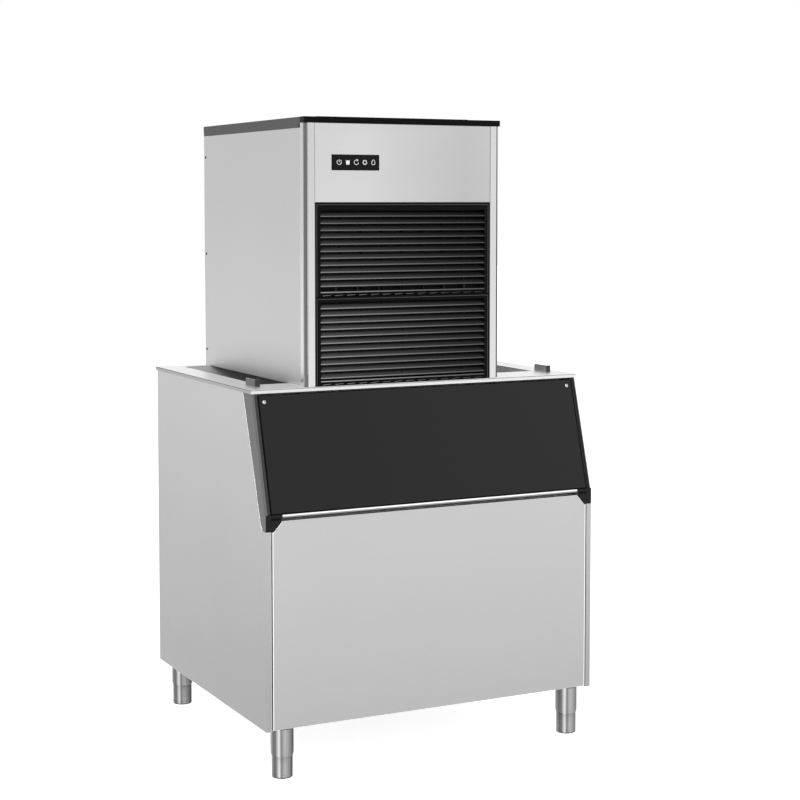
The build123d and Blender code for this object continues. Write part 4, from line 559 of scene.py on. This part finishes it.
# The rim's seam: a dark line round its lip, between the two folds of its sheet, painted as the shadow in the
# seam
rim_low, rim_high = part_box("bin_rim")
SEAM_DROP = 1.9 * MM
SEAM_HALF = 0.6 * MM
SEAM_PROUD = 0.12 * MM
SEAM_DEPTH = 1.0 * MM
seam_low = (rim_low.x - SEAM_PROUD, rim_low.y - SEAM_PROUD, rim_high.z - SEAM_DROP - SEAM_HALF)
seam_high = (rim_high.x + SEAM_PROUD, rim_high.y, rim_high.z - SEAM_DROP + SEAM_HALF)
piece("rim_seam", cut_boxes([
    (seam_low, (seam_high[0], seam_low[1] + SEAM_DEPTH, seam_high[2])),
    (seam_low, (seam_low[0] + SEAM_DEPTH, seam_high[1], seam_high[2])),
    ((seam_high[0] - SEAM_DEPTH, seam_low[1], seam_low[2]), seam_high)]),
    seam_shadow, "cabinet")

# Painted shadow: dark lines at the door's sides and over its handle strip, laid on its slanted face
DOOR_TILT = math.atan2(87, 298)
SIDE_LINE = 3.0 * MM
LOW_LINE = 3.6 * MM
LINE_PROUD = 0.15 * MM
LINE_DEPTH = 1.0 * MM


def on_door(shape):
    """Turns a shape by the door's tilt t: (x, y, z) goes to (x, y cos t + z sin t, z cos t - y sin t)."""
    x, y, z = np.asarray(shape[0], float).T
    turned_points = np.stack([x, y * math.cos(DOOR_TILT) + z * math.sin(DOOR_TILT),
                              z * math.cos(DOOR_TILT) - y * math.sin(DOOR_TILT)], 1)
    return turned_points, shape[1]


door_points = np.array([vertex.co for vertex in NODES["door_shell"].data.vertices])
upright_y = door_points[:, 1] * math.cos(DOOR_TILT) - door_points[:, 2] * math.sin(DOOR_TILT)
upright_z = door_points[:, 1] * math.sin(DOOR_TILT) + door_points[:, 2] * math.cos(DOOR_TILT)
face_plane = upright_y.min()
on_face = upright_z[upright_y < face_plane + 0.05 * MM]
face_low, face_high = on_face.min(), on_face.max()
face_left, face_right = door_points[:, 0].min(), door_points[:, 0].max()
line_front, line_back = face_plane - LINE_PROUD, face_plane + LINE_DEPTH
piece("door_edge_lines", on_door(cut_boxes([
    ((face_left, line_front, face_low), (face_left + SIDE_LINE, line_back, face_high)),
    ((face_right - SIDE_LINE, line_front, face_low), (face_right, line_back, face_high)),
    ((face_left, line_front, face_low), (face_right, line_back, face_low + LOW_LINE))])),
    gap_shadow, "door")

# Painted shadow in slots in the door frames' brackets, the lid's black corners and notches, painted shadow in
# the seams beside the corner posts, and painted highlights on the folds at the sides of the bin's front
SLOT_LOW, SLOT_HIGH = 650.5 * MM, 656.5 * MM
SLOT_OUTER, SLOT_INNER = 456 * MM, 431 * MM
CORNER_LENGTH = 26 * MM
CORNER_HEIGHT = 15 * MM
LID_PLATEAU = 4 * MM
SKIRT_NOTCH = 8 * MM
POST_SEAM_HALF = 0.5 * MM
FOLD_WIDTH = 2 * MM
FOLD_TOP = 622 * MM
bracket_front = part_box("left_door_frame")[0].y
lid_low, lid_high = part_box("head_lid")
corner_top = lid_high.z - LID_PLATEAU
skirt_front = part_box("head_left_panel")[0].y
post_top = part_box("left_corner_post")[1].z
case_low, case_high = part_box("bin_front_panel")
TRIM = {
    "bracket_slots": ("left_door_frame", gap_shadow, [
        ((side * SLOT_OUTER, bracket_front - LINE_PROUD, SLOT_LOW),
         (side * SLOT_INNER, bracket_front + LINE_DEPTH, SLOT_HIGH)) for side in (-1, 1)]),
    "lid_corners": ("head_lid", lid_plastic, [
        ((edge - inward * LINE_PROUD, front, low), (edge + inward * LINE_DEPTH, back, high))
        for edge, inward in ((lid_low.x, 1), (lid_high.x, -1))
        for front, back, low, high in (
            (lid_low.y - LINE_PROUD, lid_low.y + CORNER_LENGTH, corner_top - CORNER_HEIGHT, corner_top),
            (skirt_front, skirt_front + SKIRT_NOTCH, lid_low.z, lid_low.z + SKIRT_NOTCH))]),
    "post_seams": ("left_corner_post", seam_shadow, [
        ((x - POST_SEAM_HALF, head_front_y - LINE_PROUD, rim_high.z + LINE_DEPTH),
         (x + POST_SEAM_HALF, head_front_y + LINE_DEPTH, post_top))
        for x in (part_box("left_corner_post")[1].x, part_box("right_corner_post")[0].x)]),
    "panel_fold_highlights": ("bin_front_panel", fold_painted_highlight, [
        ((x, case_low.y - LINE_PROUD / 2, case_low.z), (x + FOLD_WIDTH, case_low.y + LINE_DEPTH, FOLD_TOP))
        for x in (case_low.x, case_high.x - FOLD_WIDTH)]),
}
for name, (node_name, finish, pairs) in TRIM.items():
    piece(name, cut_boxes(pairs), finish, "cabinet")


# Louvred grilles
SLAT_PITCH = 17.6 * MM
SLAT_COUNT = 11
SLAT_RUN = 15 * MM
SLAT_RISE = 12.5 * MM
STILE = 16 * MM
LEDGE_DROP = 10 * MM
LEDGE_HEIGHT = 3 * MM
RIB_COUNT = 7
RIB_HALF = 1.25 * MM
VENT_COUNT = 14
VENT_HALF_WIDTH = 11 * MM
VENT_HALF_HEIGHT = 2 * MM
SEAM = 0.4 * MM
GRILLE_ROUND = 0.7 * MM
FRAME_SET_BACK = 1 * MM
RAIL_DROP = 13 * MM
VENT_BACK = 8 * MM
RIB_BACK = 10 * MM
VENT_LIP = 5 * MM
BEAD_INSET = 4.5 * MM
BEAD_WIDTH = 1.4 * MM
BEAD_PROUD = 0.3 * MM
SLAT_NOSE = 1.8 * MM


def slat_profile(lip_y, lip_z):
    """A slat's section: a centre line that rises as the 1.25th power of its run, with a bead at the lip, as
    y = lip + run t, z = lip + rise t^1.25, and a thickness of 1.9 mm plus 1.7 mm exp(-(t/0.13)^2)."""
    t = np.linspace(0, 1, 15) ** 1.4
    centre = np.stack([lip_y + SLAT_NOSE + (SLAT_RUN - SLAT_NOSE) * t,
                       lip_z - SLAT_NOSE + SLAT_RISE * t ** 1.25], 1)
    ahead = np.gradient(centre, axis=0)
    ahead /= np.linalg.norm(ahead, axis=1)[:, None]
    normal = np.stack([-ahead[:, 1], ahead[:, 0]], 1)
    half = (0.95 * MM + 0.85 * MM * np.exp(-(t / 0.13) ** 2))[:, None]
    upper, lower = centre + normal * half, centre - normal * half
    start = math.atan2(normal[0, 1], normal[0, 0])
    nose_turn = start + np.linspace(0, np.pi, 8)[1:-1]
    nose = centre[0] + half[0] * np.stack([np.cos(nose_turn), np.sin(nose_turn)], 1)
    return np.concatenate([upper[::-1], nose, lower])


def grille_box(node):
    """The outer box, the slats' ends, the ledge's height and the front of a grille."""
    low, high = (np.array(corner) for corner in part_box(node))
    return low, high, low[0] + STILE, high[0] - STILE, low[2] + LEDGE_DROP, head_front_y + FRAME_SET_BACK


def grille_frame(node, first_lip):
    """Stiles, head rail, vent strip and ribs as boxes with cut edges."""
    low, high, left, right, ledge, front = grille_box(node)
    back = high[1]
    window_top = high[2] - first_lip + RAIL_DROP
    vent_middle = low[2] + LEDGE_DROP / 2
    x0, x1 = left - SEAM, right + SEAM
    border = [((low[0], front, low[2]), (left, back, high[2])),
              ((right, front, low[2]), (high[0], back, high[2])),
              ((x0, front, window_top), (x1, back, high[2]))]
    fine = [((x0, front, low[2]), (x1, back, vent_middle - VENT_HALF_HEIGHT)),
            ((x0, front, vent_middle + VENT_HALF_HEIGHT), (x1, back, ledge + SEAM)),
            ((x0, front + VENT_BACK, low[2] + SEAM), (x1, back - SEAM, ledge))]
    vent_pitch = (right - left) / VENT_COUNT
    edges = [left] + [left + (k + 0.5) * vent_pitch for k in range(VENT_COUNT)] + [right]
    for k in range(VENT_COUNT + 1):
        start = edges[k] + (VENT_HALF_WIDTH if k else -SEAM)
        end = edges[k + 1] - (VENT_HALF_WIDTH if k < VENT_COUNT else -SEAM)
        fine.append(((start, front, low[2] + SEAM), (end, back - SEAM, ledge)))
    for k in range(RIB_COUNT):
        x = left + (k + 1) * (right - left) / (RIB_COUNT + 1)
        fine.append(((x - RIB_HALF, front + RIB_BACK, ledge - SEAM), (x + RIB_HALF, back, window_top + SEAM)))
    return joined(cut_boxes(border, GRILLE_ROUND), cut_boxes(fine, GRILLE_ROUND / 2))


def grille_slats(node, first_lip):
    """The slats swept between the stiles, the ledge that stands out under them and the lips of the vents."""
    low, high, left, right, ledge, front = grille_box(node)
    x0, x1 = left - SEAM, right + SEAM
    first = high[2] - first_lip
    parts = [swept(slat_profile(front, first - k * SLAT_PITCH), x0, x1) for k in range(SLAT_COUNT)]
    parts.append(chamfered_box((x0, head_front_y, ledge),
                               (x1, front + 2 * LEDGE_HEIGHT, ledge + LEDGE_HEIGHT), GRILLE_ROUND))
    z = low[2] + LEDGE_DROP / 2 - VENT_HALF_HEIGHT
    for k in range(VENT_COUNT):
        x = left + (k + 0.5) * (right - left) / VENT_COUNT
        start, end = x - VENT_HALF_WIDTH, x + VENT_HALF_WIDTH
        profile = [(start, z - SEAM), (end, z + 1.4 * MM), (end, z + 2.0 * MM), (start, z + 0.6 * MM)]
        parts.append(swept(profile, front, front + VENT_LIP, axis=1))
    return joined(*parts)


def grille_bead(node):
    """A thin raised line round a grille's frame, a little inside its outer edge."""
    low, high, left, right, ledge, front = grille_box(node)
    y0, y1 = front - BEAD_PROUD, front - BEAD_PROUD + 1 * MM
    x0, x1, z0, z1 = low[0] + BEAD_INSET, high[0] - BEAD_INSET, low[2], high[2] - BEAD_INSET
    return cut_boxes([((x0, y0, z0), (x0 + BEAD_WIDTH, y1, z1)), ((x1 - BEAD_WIDTH, y0, z0), (x1, y1, z1)),
                      ((x0, y0, z1 - BEAD_WIDTH), (x1, y1, z1))], BEAD_PROUD / 2)


bead_plastic = moulding("grille_bead_moulding", 0.075, 0.4, **DULL)
for node, first_lip in (("upper_grille", 33 * MM), ("lower_grille", 27 * MM)):
    piece(node + "_frame", grille_frame(node, first_lip), grille_plastic, "cabinet", (node,))
    piece(node + "_slats", grille_slats(node, first_lip), slat_painted_light, "cabinet")
    piece(node + "_bead", grille_bead(node), bead_plastic, "cabinet")


# The air filter's cloth: flat threads that cross at right angles, in the filter's frame
CLOTH_PITCH = 2.2 * MM
CLOTH_THREAD = 1.8 * MM
CLOTH_LAYER = 0.3 * MM


def filter_cloth():
    """Two layers of thin strips at an even pitch, one upright and one level, each strip one flat box."""
    low, high = (np.array(corner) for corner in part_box("air_filter"))
    y0 = (low[1] + high[1]) / 2
    y1, y2 = y0 + CLOTH_LAYER, y0 + 2 * CLOTH_LAYER
    x0, x1, z0, z1 = low[0] + 2 * MM, high[0] - 2 * MM, low[2] + 2 * MM, high[2] - 2 * MM
    upright = [plain_box((x, y0, z0), (x + CLOTH_THREAD, y1, z1))
               for x in np.arange(low[0] + 3 * MM, high[0] - 3 * MM, CLOTH_PITCH)]
    level = [plain_box((x0, y1, z), (x1, y2, z + CLOTH_THREAD))
             for z in np.arange(low[2] + 3 * MM, high[2] - 3 * MM, CLOTH_PITCH)]
    return joined(*upright, *level)


piece("air_filter_cloth", filter_cloth(), rubber, "cabinet")


# Legs: turned sockets and feet
PAD_HEIGHT = 3 * MM


def leg_parts(x, y):
    """The socket's and the foot's turned profiles in mm: a straight tube, a short taper and a rounded edge,
    and on the foot the thread of its screw."""
    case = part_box("bin_bottom_panel")[0].z / MM - 0.2
    socket = [(0, case), (29, case), (29, 64), (28.6, 61), (27.6, 56), (27.2, 55.2), (26.7, 55), (8.2, 55),
              (8.2, 68), (25, 69), (25, 123), (0, 123)]
    foot = [(0, 0)] + [(23.5 + 3 * math.sin(a), 3 - 3 * math.cos(a)) for a in np.linspace(0, np.pi / 2, 7)]
    foot += [(26.5, 9), (26.2, 9.4), (26.5, 9.8), (26.5, 53.6), (26.1, 54.6), (8, 54.7)]
    for z in np.arange(56, 120, 1.25):
        foot += [(8, z), (7.3, z + 0.6)]
    foot += [(7.3, 121.5), (0, 121.5)]
    return turned(np.array(socket) * MM, (x, y, 0)), turned(np.array(foot) * MM, (x, y, 0))


def foot_pad(normal, middle):
    """True on the black pad that each foot stands on."""
    return middle.z < PAD_HEIGHT


sockets = []
for place in ("front_left", "front_right", "rear_left", "rear_right"):
    foot_low, foot_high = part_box(f"leg_foot_{place}")
    socket_shape, foot_shape = leg_parts((foot_low.x + foot_high.x) / 2, (foot_low.y + foot_high.y) / 2)
    sockets.append(socket_shape)
    piece(f"foot_{place}_turned", foot_shape, leg_painted_reflections, f"foot_{place}",
          (f"leg_foot_{place}",), painted=((rubber, foot_pad),))
piece("leg_sockets_turned", joined(*sockets), leg_painted_reflections, "cabinet", ("leg_sockets",))


# Control panel symbols
plate_low, plate_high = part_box("control_panel")
ICON_STROKE = 1.4 * MM
ICON_RADIUS = 6.0 * MM
ICON_LIFT = 0.15 * MM
ICON_ROW = 133 * MM
ICON_SHARES = (0.156, 0.335, 0.514, 0.693, 0.872)
face_y = plate_low.y
icon_z = (plate_low.z + plate_high.z) / 2 + 0.5 * MM
row_left = (plate_low.x + plate_high.x - ICON_ROW) / 2


def stroke(path, width=ICON_STROKE, closed=False):
    """A raised line on the plate."""
    return ribbon(path, width, face_y, ICON_LIFT, closed)


def power_icon(x, z):
    """An open ring with an upright bar through its gap."""
    return [stroke(arc((x, z), ICON_RADIUS, 125, 415)), stroke([(x, z), (x, z + 1.15 * ICON_RADIUS)])]


def filled(outline):
    """A flat raised plate inside an outline."""
    count = len(outline)
    points = [(x, face_y - ICON_LIFT, z) for x, z in outline] + [(x, face_y, z) for x, z in outline]
    sides = [(k, (k + 1) % count, (k + 1) % count + count, k + count) for k in range(count)]
    return np.array(points, float), [tuple(range(count)), tuple(range(2 * count - 1, count - 1, -1))] + sides


def bin_icon(x, z):
    """A filled tapered cup whose top edge shows the lumps of ice in it."""
    r = ICON_RADIUS
    cup = ((-0.95, 0.95), (-0.4, 0.55), (0.0, 0.85), (0.4, 0.55), (0.95, 0.95), (0.68, -1.0), (-0.68, -1.0))
    return [filled([(x + across * r, z + up * r) for across, up in cup])]


def cycle_icon(x, z):
    """An open ring that ends in a filled arrow head."""
    r = ICON_RADIUS
    head = [(x + 0.15 * r, z + 1.4 * r), (x + 0.95 * r, z + 0.95 * r), (x + 0.3 * r, z + 0.4 * r)]
    return [stroke(arc((x, z), r, 85, 355)), filled(head)]


def lamp_icon(x, z):
    """A bold ring with eight short teeth."""
    r = ICON_RADIUS
    rays = [stroke([(x + s * r * math.cos(a), z + s * r * math.sin(a)) for s in (0.8, 1.15)])
            for a in np.radians(np.arange(0, 360, 45))]
    return rays + [stroke(arc((x, z), 0.8 * r, 0, 345, 23), 1.5 * ICON_STROKE, closed=True)]


def drop_icon(x, z):
    """A drop: a circle whose radius grows to its tip as r (1 + 0.55 s^7), s being the sine in the top half."""
    turn = np.radians(np.arange(0, 360, 10))
    reach = ICON_RADIUS * 0.8 * (1 + 0.55 * np.maximum(np.sin(turn), 0) ** 7)
    outline = np.stack([x + reach * np.cos(turn), z - 0.15 * ICON_RADIUS + reach * np.sin(turn)], 1)
    return [stroke(outline, closed=True)]


icon_parts = []
for draw, share in zip((power_icon, bin_icon, cycle_icon, lamp_icon, drop_icon), ICON_SHARES):
    icon_parts += draw(row_left + ICON_ROW * share, icon_z)
piece("control_symbols", joined(*icon_parts), icon_paint, "cabinet")


# Screws with a domed head and a cross recess
def screw_head(centre, radius, rise, axis, sign, recess=0.28):
    """A domed head, h = rise (1 - (r/R)^2)^0.5, sunk by a cross of two arms."""
    rings, steps = 14, 48
    r = np.linspace(0, 1, rings)[:, None]
    turn = np.linspace(0, 2 * np.pi, steps, endpoint=False)[None, :]
    across, along = r * np.cos(turn), r * np.sin(turn)
    height = rise * np.sqrt(np.maximum(1 - r ** 2, 0)) + 0 * turn
    arm = np.minimum(np.abs(across), np.abs(along))
    in_cross = (arm < recess / 2) & (np.maximum(np.abs(across), np.abs(along)) < 0.62)
    height = height - np.where(in_cross, rise * 0.75, 0)
    local = np.stack([radius * across, radius * along, height * sign], -1)
    order = {0: [2, 0, 1], 1: [0, 2, 1]}[axis]
    points = local[..., order] + np.asarray(centre, float)
    return points.reshape(-1, 3), grid_faces(rings, steps, wrap_columns=True)


SIDE_SCREW_RADIUS = 4 * MM
SIDE_SCREW_RISE = 1.6 * MM
SIDE_SCREW_LEVELS = (45 * MM, 317 * MM, 590 * MM)
DOOR_SCREW_RADIUS = 4.8 * MM
DOOR_SCREW_RISE = 2.2 * MM
DOOR_SCREW_INSET = 5 * MM
side_low, side_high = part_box("side_screws")
screw_y = (side_low.y + side_high.y) / 2
head_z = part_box("head_left_panel")[0].z
screw_shapes = [
    screw_head((x, screw_y, head_z + level), SIDE_SCREW_RADIUS, SIDE_SCREW_RISE, 0, side)
    for side, x in ((-1, side_low.x + SIDE_SCREW_RISE), (1, side_high.x - SIDE_SCREW_RISE))
    for level in SIDE_SCREW_LEVELS]
piece("side_screw_heads", joined(*screw_shapes), screw_steel, "cabinet", ("side_screws",))
door_low, door_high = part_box("door_screws")
screw_points, screw_faces = on_door(
    screw_head((0, 0, 0), DOOR_SCREW_RADIUS, DOOR_SCREW_RISE, 1, -1, recess=0.36))
screw_pair = [(screw_points + np.array((side * (door_high.x - DOOR_SCREW_INSET),
                                        (door_low.y + door_high.y) / 2 + 1.2 * MM,
                                        (door_low.z + door_high.z) / 2)), screw_faces) for side in (-1, 1)]
piece("door_screw_heads", joined(*screw_pair), door_screw_steel, "door", ("door_screws",))


# Fittings on the back and under the bin: threads and ribs
def threaded(radius, start, end, pitch=1.8 * MM, depth=0.9 * MM):
    """A profile of V-shaped ridges between two heights, for a fine pipe thread."""
    profile = []
    for h in np.arange(start, end - pitch, pitch):
        profile += [(radius - depth, h), (radius, h + pitch / 2)]
    return profile + [(radius - depth, end)]


inlet_low, inlet_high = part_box("float_valve")
back_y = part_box("head_back_panel")[1].y
inlet_centre = ((inlet_low.x + inlet_high.x) / 2, 0, (inlet_low.z + inlet_high.z) / 2)
INLET_RADIUS = 13.2 * MM
inlet_end = inlet_high.y
inlet_profile = [(8 * MM, inlet_end - 20 * MM), (8 * MM, inlet_end - 0.2 * MM), (11.4 * MM, inlet_end)]
inlet_profile += reversed(threaded(INLET_RADIUS, back_y + 3 * MM, inlet_end - 1 * MM))
inlet_profile += [(INLET_RADIUS, back_y + 2.6 * MM), (17 * MM, back_y + 2.6 * MM),
                  (17.4 * MM, back_y + 0.3 * MM), (13 * MM, back_y)]
piece("water_inlet_thread", turned(inlet_profile, inlet_centre, axis=1), brass, "cabinet")

gland_low, gland_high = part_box("power_inlet_gland")
gland_centre = ((gland_low.x + gland_high.x) / 2, 0, (gland_low.z + gland_high.z) / 2)


def gland_nut():
    """A domed clamp nut with twelve grip ribs: radius = r0 (1 + 0.03 cos 12t) along a rounded profile."""
    profile = np.array([(5.5, 18), (8, 18), (10.2, 17), (11.2, 14), (12.6, 9), (12.8, 8), (13.6, 7.6),
                        (13.8, 0.6), (13.4, 0.1), (10, 0.0)]) * MM
    points, faces = turned(profile, (0, 0, 0), axis=1, steps=96)
    turn = np.arctan2(points[:, 2], points[:, 0])
    swell = 1 + 0.03 * np.cos(12 * turn) * (np.hypot(points[:, 0], points[:, 2]) > 12 * MM)
    points[:, 0] *= swell
    points[:, 2] *= swell
    return points + np.array((gland_centre[0], back_y, gland_centre[2])), faces


piece("power_gland_nut", gland_nut(), frame_plastic, "cabinet")


# Fan: five blades whose section turns and cambers along the radius
motor_low, motor_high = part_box("fan_motor")
fan_x, fan_z = (motor_low.x + motor_high.x) / 2, (motor_low.z + motor_high.z) / 2
FAN_RADIUS = 150 * MM
HUB_RADIUS = 30 * MM
BLADE_COUNT = 5


def fan_shape():
    """Each blade is a grid of s along the radius and t across the chord. Its angle about the axis is
    a0 + w(s) (t - 1/2), its place along the axis follows the pitch times the chord, and its camber is
    4c t (1 - t)."""
    middle_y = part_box("fan_shroud")[1].y - 20 * MM
    shapes = []
    s, t = np.meshgrid(np.linspace(0, 1, 16), np.linspace(0, 1, 18), indexing="ij")
    rows, columns = s.shape
    count = s.size
    faces = grid_faces(rows, columns)
    back = [tuple(i + count for i in reversed(face)) for face in faces]
    rim = ([k for k in range(columns)] + [k * columns + columns - 1 for k in range(1, rows)]
           + [(rows - 1) * columns + k for k in range(columns - 2, -1, -1)]
           + [k * columns for k in range(rows - 2, 0, -1)])
    wall = [(a, b, b + count, a + count) for a, b in zip(rim, rim[1:] + rim[:1])]
    radius = HUB_RADIUS * 0.95 + (FAN_RADIUS - 0.95 * HUB_RADIUS - 4 * MM) * s
    width = 0.62 + 0.30 * s - 0.12 * np.maximum(s - 0.85, 0) / 0.15
    pitch = (26 - 12 * s) * MM * (t - 0.5) * 2
    camber = 6 * MM * 4 * t * (1 - t) * (0.5 + 0.5 * s)
    half = 0.9 * MM * (1 - 0.7 * np.abs(2 * t - 1) ** 4)
    for blade in range(BLADE_COUNT):
        angle = 2 * np.pi * blade / BLADE_COUNT + width * (t - 0.5) - 0.25 * s
        sides = [np.stack([fan_x + radius * np.cos(angle), middle_y + pitch * 0.6 + camber + sign * half,
                           fan_z + radius * np.sin(angle)], -1).reshape(-1, 3) for sign in (-1, 1)]
        shapes.append((np.concatenate(sides), faces + back + wall))
    hub = np.array([(0, -16), (20, -15), (28, -11), (30, -5), (30, 13), (28, 14), (4, 14), (4, 50), (0, 50)])
    shapes.append(turned(hub * MM, (fan_x, middle_y, fan_z), axis=1))
    return joined(*shapes)


piece("fan_wheel", fan_shape(), frame_plastic, "fan", ("fan_blade",))


# Condenser: thin fins between end plates, and its tubes
FIN_PITCH = 3.2 * MM
FIN_THICKNESS = 0.3 * MM
END_PLATE = 2 * MM
TUBE_RADIUS = 4.5 * MM
TUBE_PITCH = 25 * MM


def condenser_shape():
    """A row of thin upright fins between two end plates."""
    low, high = (np.array(corner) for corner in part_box("condenser"))
    fins = [plain_box((x, low[1] + 1 * MM, low[2]), (x + FIN_THICKNESS, high[1] - 1 * MM, high[2]))
            for x in np.arange(low[0] + 6 * MM, high[0] - 5 * MM, FIN_PITCH)]
    plates = cut_boxes([((x, low[1], low[2]), (x + END_PLATE, high[1], high[2]))
                        for x in (low[0], high[0] - END_PLATE)], FIN_THICKNESS)
    return joined(*fins, plates)


def condenser_tubes():
    """Straight tubes across the fins at each row, as turned cylinders along X."""
    low, high = (np.array(corner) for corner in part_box("condenser"))
    start, end = low[0] + 1 * MM, high[0] - 1 * MM
    profile = [(0, start), (TUBE_RADIUS, start), (TUBE_RADIUS, end), (0, end)]
    return joined(*[turned(profile, (0, y, z), axis=0, steps=16)
                    for z in np.arange(low[2] + 14 * MM, high[2] - 10 * MM, TUBE_PITCH)
                    for y in (low[1] + 13 * MM, high[1] - 13 * MM)])


piece("condenser_fins", condenser_shape(), fin_metal, "cabinet", ("condenser",))
piece("condenser_tubes", condenser_tubes(), copper, "cabinet")


# Floor, light and camera
FLOOR_HALF = 30.0
FLOOR_GLOW = 0.76
AMBIENT = 0.62


def white_stage():
    """A floor that shows white to the camera and keeps the machine's shadow."""
    material = bpy.data.materials.new("pale_floor")
    material.use_nodes = True
    tree = material.node_tree
    tree.nodes.remove(tree.nodes["Principled BSDF"])
    matte = placed(tree, "ShaderNodeBsdfDiffuse", {"Color": (0.85, 0.85, 0.85, 1)}).outputs[0]
    glow = placed(tree, "ShaderNodeEmission", {"Color": (1, 1, 1, 1), "Strength": FLOOR_GLOW}).outputs[0]
    both = placed(tree, "ShaderNodeAddShader", {0: matte, 1: glow}).outputs[0]
    path = placed(tree, "ShaderNodeLightPath").outputs
    seen = placed(tree, "ShaderNodeMath", {0: path["Is Camera Ray"], 1: path["Is Glossy Ray"]},
                  operation="MAXIMUM").outputs[0]
    mix = placed(tree, "ShaderNodeMixShader", {0: seen, 1: matte, 2: both})
    tree.links.new(mix.outputs[0], tree.nodes["Material Output"].inputs["Surface"])
    mesh = bpy.data.meshes.new("floor")
    corners = [(x * FLOOR_HALF, y * FLOOR_HALF, 0) for x, y in ((-1, -1), (1, -1), (1, 1), (-1, 1))]
    mesh.from_pydata(corners, [], [(0, 1, 2, 3)])
    floor = bpy.data.objects.new("floor", mesh)
    bpy.context.scene.collection.objects.link(floor)
    mesh.materials.append(material)


def white_world():
    """Even light for the object, and plain white where the camera, a reflection or clear plastic sees it."""
    world = bpy.data.worlds.new("studio")
    bpy.context.scene.world = world
    world.use_nodes = True
    tree = world.node_tree
    background = tree.nodes["Background"]
    background.inputs["Color"].default_value = (1, 1, 1, 1)
    path = placed(tree, "ShaderNodeLightPath").outputs
    seen = placed(tree, "ShaderNodeMath", {0: path["Is Camera Ray"], 1: path["Is Glossy Ray"]},
                  operation="MAXIMUM").outputs[0]
    more = placed(tree, "ShaderNodeMath", {0: seen, 1: path["Is Transmission Ray"]}, operation="MAXIMUM")
    strength = placed(tree, "ShaderNodeMapRange", {"Value": more.outputs[0], "To Min": AMBIENT})
    tree.links.new(strength.outputs[0], background.inputs["Strength"])


def soft_light(name, place, power):
    """A square area lamp that faces the middle of the machine."""
    lamp = bpy.data.lights.new(name, "AREA")
    lamp.shape = "SQUARE"
    lamp.size = LAMP_SIZE
    lamp.energy = power
    holder = bpy.data.objects.new(name, lamp)
    bpy.context.scene.collection.objects.link(holder)
    way = np.array(LAMP_TARGET, float) - np.array(place, float)
    holder.location = place
    holder.rotation_euler = (math.atan2(math.hypot(way[0], way[1]), -way[2]), 0, math.atan2(-way[0], way[1]))


LAMP_SIZE = 2.5
LAMP_TARGET = (0, 0, 0.8)
KEY_PLACE = (-3.2, -3.4, 3.6)
KEY_POWER = 120
FILL_PLACE = (3.4, -2.6, 2.4)
FILL_POWER = 40
CAMERA_PLACE = (-2.1045, -4.3671, 1.4305)
CAMERA_TURN = -0.468
CAMERA_PITCH = 0.067
CAMERA_LENS = 79.52
CAMERA_SHIFT = -0.10


def photo_camera():
    """The camera of the photo's view: its place, heading and pitch, with the shift of the photo's framing."""
    data = bpy.data.cameras.new("camera")
    data.lens = CAMERA_LENS
    data.sensor_width = 36.0
    data.shift_y = CAMERA_SHIFT
    data.clip_end = 60.0
    camera = bpy.data.objects.new("camera", data)
    bpy.context.scene.collection.objects.link(camera)
    camera.location = CAMERA_PLACE
    camera.rotation_euler = (math.pi / 2 - CAMERA_PITCH, 0, CAMERA_TURN)
    bpy.context.scene.camera = camera


white_stage()
white_world()
soft_light("key", KEY_PLACE, KEY_POWER)
soft_light("fill", FILL_PLACE, FILL_POWER)
photo_camera()
bpy.context.scene.view_settings.view_transform = "Standard"
